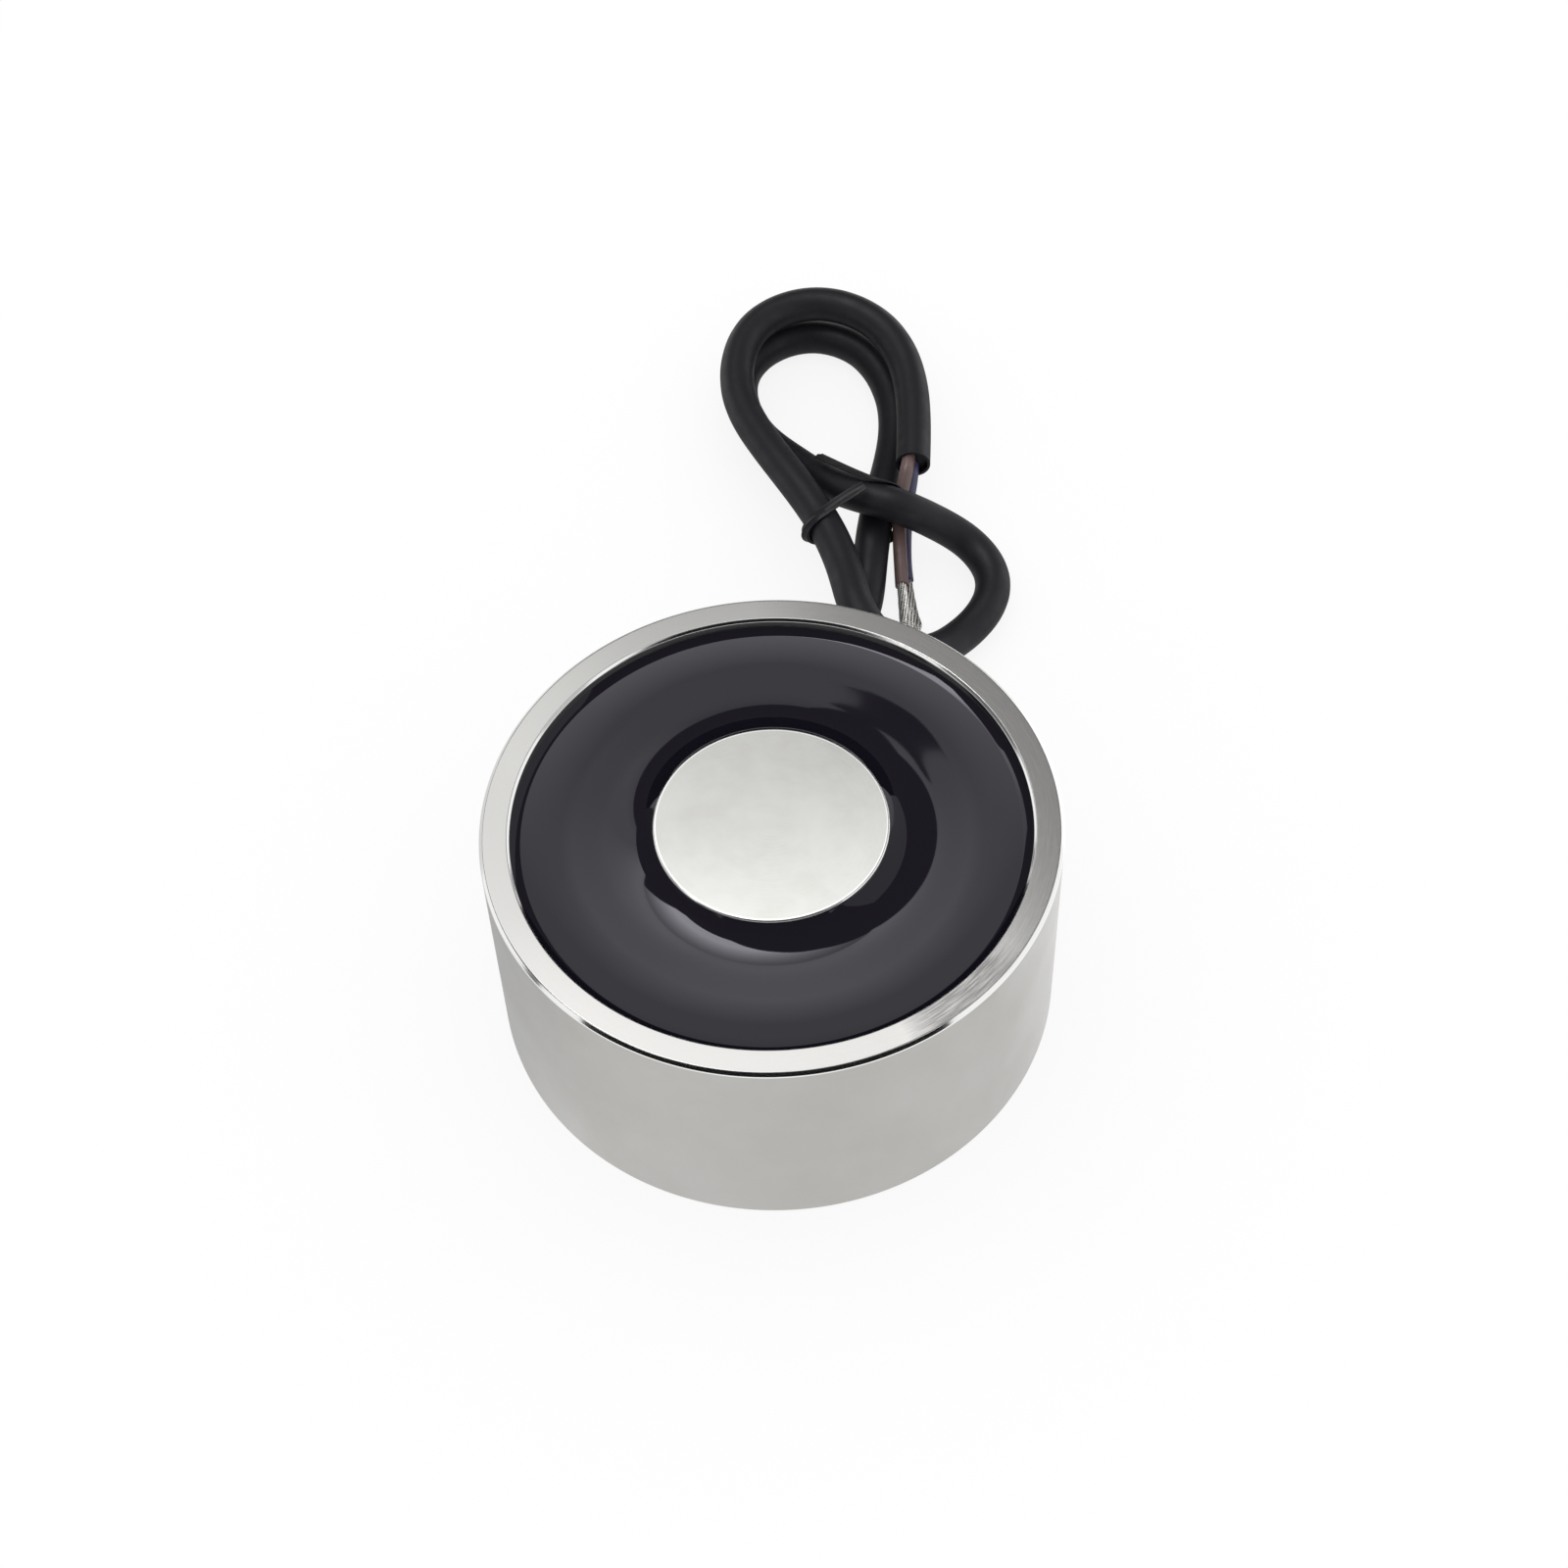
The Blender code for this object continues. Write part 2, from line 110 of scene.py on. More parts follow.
# The bare ends and the twist tie
STRAND_DIAMETER = 0.00027
STRAND_LAY = 0.014
STRAND_TUCK = 0.0008
STRAND_RINGS = ((6, STRAND_DIAMETER * 1.02, 0.0), (9, STRAND_DIAMETER * 1.95, 0.3))
TIE_WIDTH = 0.0014
TIE_THICKNESS = 0.00034
TIE_WIRE_DIAMETER = 0.0005
TIE_CLEARANCE = 0.00027
TIE_DRAWS = 240
TIE_FOLD_REACH = 0.0019
TIE_FOLD_LIFT = 0.0003
TIE_FOLD_SWELL = 1.6

# Fineness
POT_STEPS = 256
LEAD_HOLE_STEPS = 64
MENISCUS_STEPS = 24
SHEATH_SPACING = 0.0006
WIRE_SPACING = 0.0003
READINGS_PER_METRE = 8000
SHEATH_SIDES = 28
WIRE_SIDES = 16
STRAND_SIDES = 8
SAME_POINT = 1e-7
ON_HOLDING_FACE = 0.000005

# The lead's route, with x and y from the mouth of its hole in the wall and z from the ground
SHEATH_ROUTE = (
    # down to the ground and out along it
    (0.0024, 0.0094, 0.0070), (0.0051, 0.0152, 0.0040), (0.0075, 0.0208, 0.0026),
    (0.0087, 0.0270, 0.0031), (0.0097, 0.0332, 0.0040), (0.0130, 0.0478, 0.0026),
    (0.0138, 0.0550, 0.0024),
    # the inner loop on the ground
    (0.0127, 0.0620, 0.0024), (0.0090, 0.0682, 0.0024), (0.0034, 0.0707, 0.0024),
    (-0.0027, 0.0689, 0.0024), (-0.0065, 0.0638, 0.0024), (-0.0067, 0.0578, 0.0024),
    (-0.0044, 0.0518, 0.0027), (-0.0003, 0.0460, 0.0038),
    # over the outgoing run, under the tie, and round the small loop on the right
    (0.0038, 0.0400, 0.0061), (0.0078, 0.0354, 0.0085), (0.0126, 0.0328, 0.0089),
    (0.0176, 0.0323, 0.0059), (0.0220, 0.0306, 0.0033), (0.0245, 0.0261, 0.0024),
    (0.0235, 0.0204, 0.0024), (0.0194, 0.0154, 0.0025),
    # the turn behind the pot, and back over everything on the left
    (0.0154, 0.0122, 0.0039), (0.0108, 0.0110, 0.0066), (0.0073, 0.0136, 0.0090),
    (0.0056, 0.0202, 0.0091), (0.0031, 0.0302, 0.0087), (-0.0006, 0.0384, 0.0085),
    (-0.0043, 0.0462, 0.0079), (-0.0070, 0.0540, 0.0074),
    # the outer loop on top of the inner one, down to the cut end
    (-0.0072, 0.0614, 0.0073), (-0.0038, 0.0690, 0.0073), (0.0038, 0.0721, 0.0073),
    (0.0114, 0.0684, 0.0073), (0.0154, 0.0600, 0.0073), (0.0160, 0.0512, 0.0073),
    (0.0153, 0.0414, 0.0073),
)
BROWN_CORE_ROUTE = (
    (0.0145, 0.04105, 0.0082), (0.0144, 0.0401, 0.00795), (0.0139, 0.0384, 0.00705),
    (0.0133, 0.0363, 0.0058), (0.0130, 0.0336, 0.0048), (0.01285, 0.0302, 0.0040),
    (0.0128, 0.0268, 0.0035), (0.01275, 0.0238, 0.0034),
)
BLUE_CORE_ROUTE = (
    (0.0151, 0.0410, 0.0060), (0.0150, 0.0402, 0.00565), (0.01465, 0.0388, 0.00465),
    (0.01425, 0.0370, 0.0036), (0.0139, 0.0346, 0.0028), (0.0136, 0.0314, 0.00215),
    (0.0135, 0.0286, 0.0016), (0.01355, 0.0263, 0.00145),
)
BROWN_STRAND_ROUTE = ((0.01275, 0.0235, 0.0033), (0.0128, 0.0214, 0.0024), (0.01295, 0.0186, 0.0013))
BLUE_STRAND_ROUTE = ((0.0136, 0.0260, 0.0014), (0.0139, 0.0226, 0.0009), (0.01435, 0.0188, 0.0008))
TIE_ROUTE = (
    # the tail, and over the bundle to the right
    (0.00284, 0.04274, 0.0084), (0.00452, 0.04066, 0.0094), (0.00619, 0.0381, 0.01075),
    (0.0080, 0.0357, 0.01185), (0.0100, 0.0345, 0.0119), (0.0116, 0.0345, 0.0114),
    # down between the bundle and the brown core
    (0.0128, 0.0351, 0.0099), (0.0138, 0.0355, 0.0080), (0.0148, 0.0353, 0.0061),
    (0.0155, 0.0356, 0.0041),
    # back under the bundle
    (0.01575, 0.0361, 0.0022), (0.0142, 0.0356, 0.0009), (0.0119, 0.0344, 0.00075),
    (0.0090, 0.0323, 0.00075), (0.0056, 0.0310, 0.0024),
    # up on the left, and over the bundle to the tail
    (0.0028, 0.0300, 0.0051), (0.0008, 0.0293, 0.0066), (0.0001, 0.0288, 0.0089),
    (0.0010, 0.0287, 0.0110), (0.00275, 0.0296, 0.0119), (0.00475, 0.0317, 0.0116),
    (0.0069, 0.0331, 0.0119), (0.0084, 0.0332, 0.0127),
)

LEAD_DIRECTION = Vector((math.sin(LEAD_HOLE_ANGLE), math.cos(LEAD_HOLE_ANGLE), 0.0))
LEAD_MOUTH = LEAD_DIRECTION * POT_RADIUS


# Camera

CAMERA_PLACE = Vector((0.0, -0.1890227, 0.2934667))
CAMERA_PAN = 0.00843522
CAMERA_TILT = 0.93543549
CAMERA_ROLL = -0.04046512
CAMERA_LENS = 67.113


def add_camera():
    """The view of the photograph: from the front and above, turned a little about its own axis."""
    data = bpy.data.cameras.new("camera")
    data.lens = CAMERA_LENS
    data.sensor_width = 36.0
    data.clip_start = 0.01
    data.clip_end = 20.0
    camera = bpy.data.objects.new("camera", data)
    camera.matrix_world = (
        Matrix.Translation(CAMERA_PLACE)
        @ Matrix.Rotation(-CAMERA_PAN, 4, "Z")
        @ Matrix.Rotation(math.pi / 2 - CAMERA_TILT, 4, "X")
        @ Matrix.Rotation(CAMERA_ROLL, 4, "Z")
    )
    bpy.context.scene.collection.objects.link(camera)
    bpy.context.scene.camera = camera


# Curves and sweeps

def from_mouth(route):
    """Lead points given from the hole's mouth, as places in the part's frame."""
    return [(x + LEAD_MOUTH.x, y + LEAD_MOUTH.y, z) for x, y, z in route]


def curve_through(points, spacing):
    """Evenly spaced points on the natural cubic spline through the given ones."""
    knots = np.array(points, float)
    spans = np.linalg.norm(np.diff(knots, axis=0), axis=1)
    reach = np.concatenate(([0.0], np.cumsum(spans)))
    last = len(knots) - 1
    system = np.eye(last + 1)
    bends = np.zeros_like(knots)
    for i in range(1, last):
        system[i, i - 1:i + 2] = spans[i - 1], 2 * (spans[i - 1] + spans[i]), spans[i]
        ahead = (knots[i + 1] - knots[i]) / spans[i]
        behind = (knots[i] - knots[i - 1]) / spans[i - 1]
        bends[i] = 6 * (ahead - behind)
    second = np.linalg.solve(system, bends)
    where = np.linspace(0.0, reach[-1], int(reach[-1] * READINGS_PER_METRE))
    span = np.clip(np.searchsorted(reach, where, side="right") - 1, 0, last - 1)
    before = ((reach[span + 1] - where) / spans[span])[:, None]
    after = 1 - before
    sixth = (spans[span] ** 2 / 6)[:, None]
    fine = (
        before * knots[span] + after * knots[span + 1]
        + ((before ** 3 - before) * second[span] + (after ** 3 - after) * second[span + 1]) * sixth
    )
    run = np.concatenate(([0.0], np.cumsum(np.linalg.norm(np.diff(fine, axis=0), axis=1))))
    even = np.linspace(0.0, run[-1], max(3, round(run[-1] / spacing) + 1))
    return np.column_stack([np.interp(even, run, fine[:, axis]) for axis in range(3)])


def tangents(points):
    directions = np.gradient(points, axis=0)
    return directions / np.linalg.norm(directions, axis=1)[:, None]


def frames_along(points, outward=None):
    """A matrix at each point, with Z along the path and X carried on without twist or turned outward."""
    frames = []
    side = Vector((0.0, 0.0, 1.0))
    for index, (point, along) in enumerate(zip(points, tangents(points))):
        along = Vector(along)
        if outward is not None:
            side = Vector(outward[index])
        side = (side - along * side.dot(along)).normalized()
        across = along.cross(side)
        turn = Matrix((side, across, along)).transposed().to_4x4()
        frames.append(Matrix.Translation(Vector(point)) @ turn)
    return frames


def round_section(diameter, sides):
    return [
        (math.cos(math.tau * i / sides) * diameter / 2, math.sin(math.tau * i / sides) * diameter / 2)
        for i in range(sides)
    ]


def sweep(mesh, frames, section):
    """Carries a closed section along the frames in the mesh, and gives back its end face."""
    ring = [mesh.verts.new(frames[0] @ Vector((x, y, 0.0))) for x, y in section]
    edges = list(mesh.faces.new(ring).edges)
    for before, after in zip(frames, frames[1:]):
        made = bmesh.ops.extrude_edge_only(mesh, edges=edges)["geom"]
        corners = [item for item in made if isinstance(item, bmesh.types.BMVert)]
        edges = [item for item in made if isinstance(item, bmesh.types.BMEdge) and item.is_boundary]
        bmesh.ops.transform(mesh, matrix=after @ before.inverted(), verts=corners)
    return bmesh.ops.edgeloop_fill(mesh, edges=edges)["faces"][0]


def hollow_end(mesh, end, wall, depth, into):
    """Sinks the middle of an end face, so that a cut tube shows its wall."""
    bmesh.ops.inset_individual(mesh, faces=[end], thickness=wall)
    sunk = bmesh.ops.extrude_discrete_faces(mesh, faces=[end])["faces"][0]
    bmesh.ops.translate(mesh, verts=sunk.verts, vec=into * depth)


def object_from(name, mesh):
    """An object in the scene with the bmesh's faces."""
    data = bpy.data.meshes.new(name)
    mesh.to_mesh(data)
    mesh.free()
    made = bpy.data.objects.new(name, data)
    bpy.context.scene.collection.objects.link(made)
    return made


def add_piece(name, mesh, material, stands_for=(), sharp_angle=35):
    """Puts a bmesh into the scene as a piece of the object that rides on its one body."""
    bmesh.ops.remove_doubles(mesh, verts=mesh.verts, dist=SAME_POINT)
    bmesh.ops.recalc_face_normals(mesh, faces=mesh.faces)
    piece = object_from(name, mesh)
    piece.data.shade_smooth()
    piece.data.set_sharp_from_angle(angle=math.radians(sharp_angle))
    piece.data.materials.append(material)
    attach(piece, "root")
    if stands_for:
        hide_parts(*stands_for)
    return piece


def with_supports(outline):
    """The outline with a point close to each rounded corner on its long sides, which keeps them flat."""
    closed = outline[0][0] > 0
    following = outline[1:] + outline[:1] if closed else outline[1:] + (None,)
    points = []
    for here, there in zip(outline, following):
        points.append(here)
        if there is None:
            continue
        side = Vector(there[:2]) - Vector(here[:2])
        if side.length < 4 * EDGE_SUPPORT:
            continue
        step = side.normalized() * EDGE_SUPPORT
        if here[2]:
            points.append((here[0] + step.x, here[1] + step.y, 0.0))
        if there[2]:
            points.append((there[0] - step.x, there[1] - step.y, 0.0))
    return points


def turned(outline, steps):
    """A bmesh turned about Z from (radius, height, rounding) points that start and end on the axis,
    or go round a closed ring."""
    mesh = bmesh.new()
    corners = [mesh.verts.new((radius, 0.0, height)) for radius, height, _ in outline]
    pairs = list(zip(corners, corners[1:]))
    if outline[0][0] > 0:
        pairs.append((corners[-1], corners[0]))
    for pair in pairs:
        mesh.edges.new(pair)
    for corner, (_, _, rounding) in zip(corners, outline):
        if rounding:
            bmesh.ops.bevel(
                mesh, geom=[corner], offset=rounding, affect="VERTICES", segments=3, profile=0.5,
                material=-1,
            )
    bmesh.ops.spin(
        mesh, geom=mesh.verts[:] + mesh.edges[:], cent=(0, 0, 0), axis=(0, 0, 1),
        angle=math.tau, steps=steps, use_merge=True,
    )
    bmesh.ops.remove_doubles(mesh, verts=mesh.verts, dist=SAME_POINT)
    bmesh.ops.recalc_face_normals(mesh, faces=mesh.faces)
    return mesh


# Node helpers

def place(tree, kind, inputs=None, **settings):
    """A node with its settings made and its inputs given a value or linked to a socket."""
    node = tree.nodes.new(kind)
    for setting, value in settings.items():
        setattr(node, setting, value)
    for socket, value in (inputs or {}).items():
        if isinstance(value, bpy.types.NodeSocket):
            tree.links.new(value, node.inputs[socket])
        else:
            node.inputs[socket].default_value = value
    return node


def maths(tree, operation, first, second=0.0, third=0.0):
    node = place(tree, "ShaderNodeMath", {0: first, 1: second, 2: third}, operation=operation)
    return node.outputs[0]


def remap(tree, value, low, high, new_low=0.0, new_high=1.0):
    inputs = {"Value": value, "From Min": low, "From Max": high, "To Min": new_low, "To Max": new_high}
    return place(tree, "ShaderNodeMapRange", inputs).outputs[0]


def blend_colours(tree, share, first, second):
    inputs = {"Factor": share, "A": first, "B": second}
    node = place(tree, "ShaderNodeMix", data_type="RGBA")
    for socket in node.inputs:
        value = inputs.get(socket.name)
        if value is None or not socket.enabled:
            continue
        if isinstance(value, bpy.types.NodeSocket):
            tree.links.new(value, socket)
        else:
            socket.default_value = value
    return node.outputs["Result"]


def object_place(tree):
    return place(tree, "ShaderNodeTexCoord").outputs["Object"]


def coordinates(tree):
    """A spot's X, Y and Z in the part's frame."""
    return place(tree, "ShaderNodeSeparateXYZ", {0: object_place(tree)}).outputs


def radius_of(tree, spot):
    """How far a spot is from the pot's axis."""
    square = maths(tree, "MULTIPLY", spot["X"], spot["X"])
    return maths(tree, "SQRT", maths(tree, "MULTIPLY_ADD", spot["Y"], spot["Y"], square))


def noise(tree, where, scale, detail=3.0, roughness=0.5):
    inputs = {"Vector": where, "Scale": scale, "Detail": detail, "Roughness": roughness}
    return place(tree, "ShaderNodeTexNoise", inputs).outputs["Fac"]


def new_group(name, inputs, outputs):
    group = bpy.data.node_groups.new(name, "ShaderNodeTree")
    for socket, default in inputs.items():
        made = group.interface.new_socket(socket, in_out="INPUT", socket_type="NodeSocketFloat")
        made.default_value = default
    for socket in outputs:
        group.interface.new_socket(socket, in_out="OUTPUT", socket_type="NodeSocketFloat")
    entry = group.nodes.new("NodeGroupInput")
    result = group.nodes.new("NodeGroupOutput")
    return group, entry.outputs, result.inputs


def use_group(tree, group, inputs):
    return place(tree, "ShaderNodeGroup", inputs, node_tree=group).outputs


def new_finish(name, colour, roughness, metallic=0.0):
    material = bpy.data.materials.new(name)
    material.use_nodes = True
    shader = material.node_tree.nodes["Principled BSDF"]
    shader.inputs["Base Color"].default_value = (*colour, 1.0)
    shader.inputs["Roughness"].default_value = roughness
    shader.inputs["Metallic"].default_value = metallic
    return material, material.node_tree, shader


def bump(tree, shader, height, distance, strength=1.0):
    inputs = {"Height": height, "Distance": distance, "Strength": strength}
    normal = place(tree, "ShaderNodeBump", inputs).outputs["Normal"]
    tree.links.new(normal, shader.inputs["Normal"])


# Shared surface effects

def turning_marks_group():
    """Rings left by the lathe, on faces across the axis and on walls along it alike."""
    group, entry, result = new_group("turning_marks", {"Scale": 4000.0, "Detail": 3.0}, ["Marks"])
    spot = coordinates(group)
    radius = radius_of(group, spot)
    along = maths(group, "ADD", radius, spot["Z"])
    rings = place(
        group, "ShaderNodeTexNoise", {"W": along, "Scale": entry["Scale"], "Detail": entry["Detail"]},
        noise_dimensions="1D",
    )
    group.links.new(rings.outputs["Fac"], result["Marks"])
    return group


def patches_group():
    """Soft-edged patches, from one size of noise set off by a finer one."""
    inputs = {"Scale": 100.0, "Low": 0.45, "High": 0.6}
    group, entry, result = new_group("patches", inputs, ["Mask"])
    where = object_place(group)
    coarse = noise(group, where, entry["Scale"], 4.0, 0.6)
    share = remap(group, coarse, entry["Low"], entry["High"])
    group.links.new(share, result["Mask"])
    return group


def grain_group():
    """The fine unevenness of moulded and extruded plastic."""
    group, entry, result = new_group("grain", {"Scale": 6000.0}, ["Height"])
    fine = noise(group, object_place(group), entry["Scale"], 2.0, 0.6)
    group.links.new(fine, result["Height"])
    return group


def facing_group():
    """How far a spot lies towards a direction from the axis: 1 right towards it, -1 opposite."""
    group, entry, result = new_group("facing", {"East": 1.0, "North": 0.0}, ["Share"])
    spot = coordinates(group)
    radius = radius_of(group, spot)
    east = maths(group, "MULTIPLY", spot["X"], entry["East"])
    towards = maths(group, "MULTIPLY_ADD", spot["Y"], entry["North"], east)
    group.links.new(maths(group, "DIVIDE", towards, radius), result["Share"])
    return group


def streaks_group():
    """Long thin streaks that run round the axis."""
    group, entry, result = new_group("streaks", {"Around": 8.0, "Across": 8000.0}, ["Mask"])
    spot = coordinates(group)
    radius = radius_of(group, spot)
    east = maths(group, "MULTIPLY", maths(group, "DIVIDE", spot["X"], radius), entry["Around"])
    north = maths(group, "MULTIPLY", maths(group, "DIVIDE", spot["Y"], radius), entry["Around"])
    across = maths(group, "MULTIPLY", radius, entry["Across"])
    where = place(group, "ShaderNodeCombineXYZ", {"X": east, "Y": north, "Z": across}).outputs[0]
    share = remap(group, noise(group, where, 1.0, 2.0, 0.6), 0.35, 0.65)
    group.links.new(share, result["Mask"])
    return group


TURNING_MARKS = turning_marks_group()
FACING = facing_group()
STREAKS = streaks_group()
PATCHES = patches_group()
GRAIN = grain_group()


# Finishes

# The plate's colours: satin on the wall, ground on the rim and the pole, with streaked wear and painted
# shade darkening some sides of the rim, and painted highlights on the edges
NICKEL_SATIN = (0.49, 0.485, 0.47, 1.0)
NICKEL_SATIN_SHADED = (0.46, 0.45, 0.43, 1.0)
NICKEL_GROUND = (0.57, 0.565, 0.55, 1.0)
NICKEL_POLE = (0.63, 0.63, 0.61, 1.0)
NICKEL_POLE_SHADED = (0.585, 0.58, 0.555, 1.0)
NICKEL_SCUFFED_AND_SHADED = (0.41, 0.40, 0.395, 1.0)
NICKEL_SHADED_FRONT_LEFT = (0.45, 0.445, 0.435, 1.0)
NICKEL_RUBBED_AND_SHADED = (0.30, 0.295, 0.29, 1.0)
# Painted highlights: a near-white colour on the chamfers at the top and in a thin ring round the pole's
# edge, standing in for the bright lines these edges catch
NICKEL_EDGE_HIGHLIGHT = (0.88, 0.88, 0.87, 1.0)
POLE_EDGE_HIGHLIGHT_WIDTH = 0.00022
STEEL_BORED = (0.40, 0.39, 0.37, 1.0)
TIN_BRIGHT = (0.92, 0.91, 0.88, 1.0)
TIN_DULL = (0.66, 0.64, 0.60, 1.0)
# Painted light and shade on the winding: the lit crown of each turn, and shade between turns
COPPER_LIT = (0.76, 0.33, 0.16, 1.0)
COPPER_SHADED_BETWEEN_TURNS = (0.30, 0.09, 0.03, 1.0)
FILM_SINGLE = (0.80, 0.58, 0.12, 1.0)
FILM_LAPPED = (0.62, 0.40, 0.05, 1.0)

# How deep the finer unevenness of each surface is
TURNING_MARK_DEPTH = 0.000002
RESIN_UNEVENNESS = 0.00001
PLASTIC_GRAIN_DEPTH = 0.00001
WIRE_TURN_DEPTH = 0.00008
FILM_CREASE_DEPTH = 0.00003


def towards(tree, azimuth, low, high):
    """A soft mask that rises from 0 to 1 where the cosine of the angle off an azimuth passes low to high."""
    across = math.radians(azimuth)
    share = use_group(tree, FACING, {"East": math.sin(across), "North": math.cos(across)})["Share"]
    return remap(tree, share, low, high)


def nickel_plate():
    """Turned steel: satin nickel on the wall, ground bright on the rim and the pole, bare in the bore, with
    painted highlights on the chamfers and round the pole's edge and painted shade on some sides of the rim.
    """
    material, tree, shader = new_finish("nickel_plate", NICKEL_SATIN[:3], 0.35, 1.0)
    spot = coordinates(tree)
    height = spot["Z"]
    radius = radius_of(tree, spot)
    ground = maths(tree, "GREATER_THAN", height, POT_HEIGHT - ON_HOLDING_FACE)
    above_wall = maths(tree, "GREATER_THAN", height, POT_HEIGHT - FACE_CHAMFER - SHOULDER_ROUNDING)
    on_wall = maths(tree, "GREATER_THAN", radius, CAVITY_RADIUS + BORE_CHAMFER / 2)
    on_rim = maths(tree, "GREATER_THAN", radius, CAVITY_RADIUS)

    clouds = use_group(tree, PATCHES, {"Scale": 70.0, "Low": 0.35, "High": 0.75})["Mask"]
    streaks = use_group(tree, STREAKS, {"Around": 9.0, "Across": 6000.0})["Mask"]
    rings = use_group(tree, TURNING_MARKS, {"Scale": 5200.0})["Marks"]
    scuffs = remap(tree, streaks, 0.0, 1.0, 0.7, 1.0)
    rubs = remap(tree, streaks, 0.0, 1.0, 0.3, 1.0)
    # The rim darker towards azimuth 68: streaked wear, and painted shade for the duller reflection on that
    # side
    dulled = maths(tree, "MULTIPLY", towards(tree, 68, 0.35, 0.9), scuffs)
    dulled = maths(tree, "MULTIPLY", dulled, on_rim)
    # A narrow streaked patch on the rim towards azimuth 140, much darker: streaked wear, and painted shade
    # for a dark reflection there
    rubbed_and_shaded = maths(tree, "MULTIPLY", towards(tree, 140, 0.965, 0.99), rubs)
    rubbed_and_shaded = maths(tree, "MULTIPLY", rubbed_and_shaded, on_rim)
    # Painted shade: the rim's colour darker towards the front left, which tones down its bright reflection
    # there
    shade_front_left = maths(tree, "MULTIPLY", towards(tree, 205, 0.1, 0.7), on_rim)
    mottle = use_group(tree, PATCHES, {"Scale": 150.0, "Low": 0.35, "High": 0.65})["Mask"]
    off_edge = maths(tree, "ABSOLUTE", maths(tree, "SUBTRACT", radius, POLE_RADIUS - POLE_CHAMFER))
    pole_edge_highlight = maths(tree, "LESS_THAN", off_edge, POLE_EDGE_HIGHLIGHT_WIDTH)

    satin = blend_colours(tree, clouds, NICKEL_SATIN, NICKEL_SATIN_SHADED)
    side = blend_colours(tree, on_wall, STEEL_BORED, satin)
    # Painted highlight on the chamfers at the top
    edges = blend_colours(tree, above_wall, side, NICKEL_EDGE_HIGHLIGHT)
    pole = blend_colours(tree, mottle, NICKEL_POLE, NICKEL_POLE_SHADED)
    # Painted highlight: a bright ring round the pole's edge
    pole = blend_colours(tree, pole_edge_highlight, pole, NICKEL_EDGE_HIGHLIGHT)
    flats = blend_colours(tree, on_rim, pole, NICKEL_GROUND)
    flats = blend_colours(tree, shade_front_left, flats, NICKEL_SHADED_FRONT_LEFT)
    flats = blend_colours(tree, dulled, flats, NICKEL_SCUFFED_AND_SHADED)
    flats = blend_colours(tree, rubbed_and_shaded, flats, NICKEL_RUBBED_AND_SHADED)
    tree.links.new(blend_colours(tree, ground, edges, flats), shader.inputs["Base Color"])

    satin_rough = remap(tree, clouds, 0.0, 1.0, 0.30, 0.36)
    side_rough = remap(tree, on_wall, 0.0, 1.0, 0.18, satin_rough)
    edge_rough = remap(tree, above_wall, 0.0, 1.0, side_rough, 0.10)
    worn = maths(tree, "MAXIMUM", dulled, rubbed_and_shaded)
    flat_rough = maths(tree, "MULTIPLY_ADD", rings, 0.04, remap(tree, worn, 0.0, 1.0, 0.10, 0.24))
    rough = remap(tree, ground, 0.0, 1.0, edge_rough, flat_rough)
    tree.links.new(rough, shader.inputs["Roughness"])
    bump(tree, shader, rings, TURNING_MARK_DEPTH, 0.5)
    return material


def cast_resin():
    """Glossy black casting resin that set with a faint swirl and a slightly uneven level."""
    material, tree, shader = new_finish("cast_resin", (0.006, 0.005, 0.009), 0.03)
    shader.inputs["Specular Tint"].default_value = (0.93, 0.91, 1.0, 1.0)
    swirl = use_group(tree, PATCHES, {"Scale": 60.0, "Low": 0.3, "High": 0.7})["Mask"]
    tree.links.new(remap(tree, swirl, 0.0, 1.0, 0.02, 0.05), shader.inputs["Roughness"])
    level = noise(tree, object_place(tree), 110.0, 1.0, 0.4)
    bump(tree, shader, level, RESIN_UNEVENNESS, 0.5)
    return material


def plastic(name, colour, roughness, shade=0.8, shine=0.5):
    """Extruded or moulded plastic with a little uneven colour and gloss."""
    material, tree, shader = new_finish(name, colour, roughness)
    shader.inputs["Specular IOR Level"].default_value = shine
    clouds = use_group(tree, PATCHES, {"Scale": 400.0, "Low": 0.35, "High": 0.65})["Mask"]
    darker = tuple(value * shade for value in colour)
    colours = blend_colours(tree, clouds, (*colour, 1.0), (*darker, 1.0))
    tree.links.new(colours, shader.inputs["Base Color"])
    rough = remap(tree, clouds, 0.0, 1.0, roughness - 0.05, roughness + 0.05)
    tree.links.new(rough, shader.inputs["Roughness"])
    grain = use_group(tree, GRAIN, {"Scale": 6000.0})["Height"]
    bump(tree, shader, grain, PLASTIC_GRAIN_DEPTH, 0.6)
    return material


def tinned_wire():
    material, tree, shader = new_finish("tinned_wire", (0.86, 0.84, 0.81), 0.3, 1.0)
    dulled = use_group(tree, PATCHES, {"Scale": 350.0, "Low": 0.4, "High": 0.8})["Mask"]
    tin = blend_colours(tree, dulled, TIN_BRIGHT, TIN_DULL)
    tree.links.new(tin, shader.inputs["Base Color"])
    tree.links.new(remap(tree, dulled, 0.0, 1.0, 0.25, 0.4), shader.inputs["Roughness"])
    return material


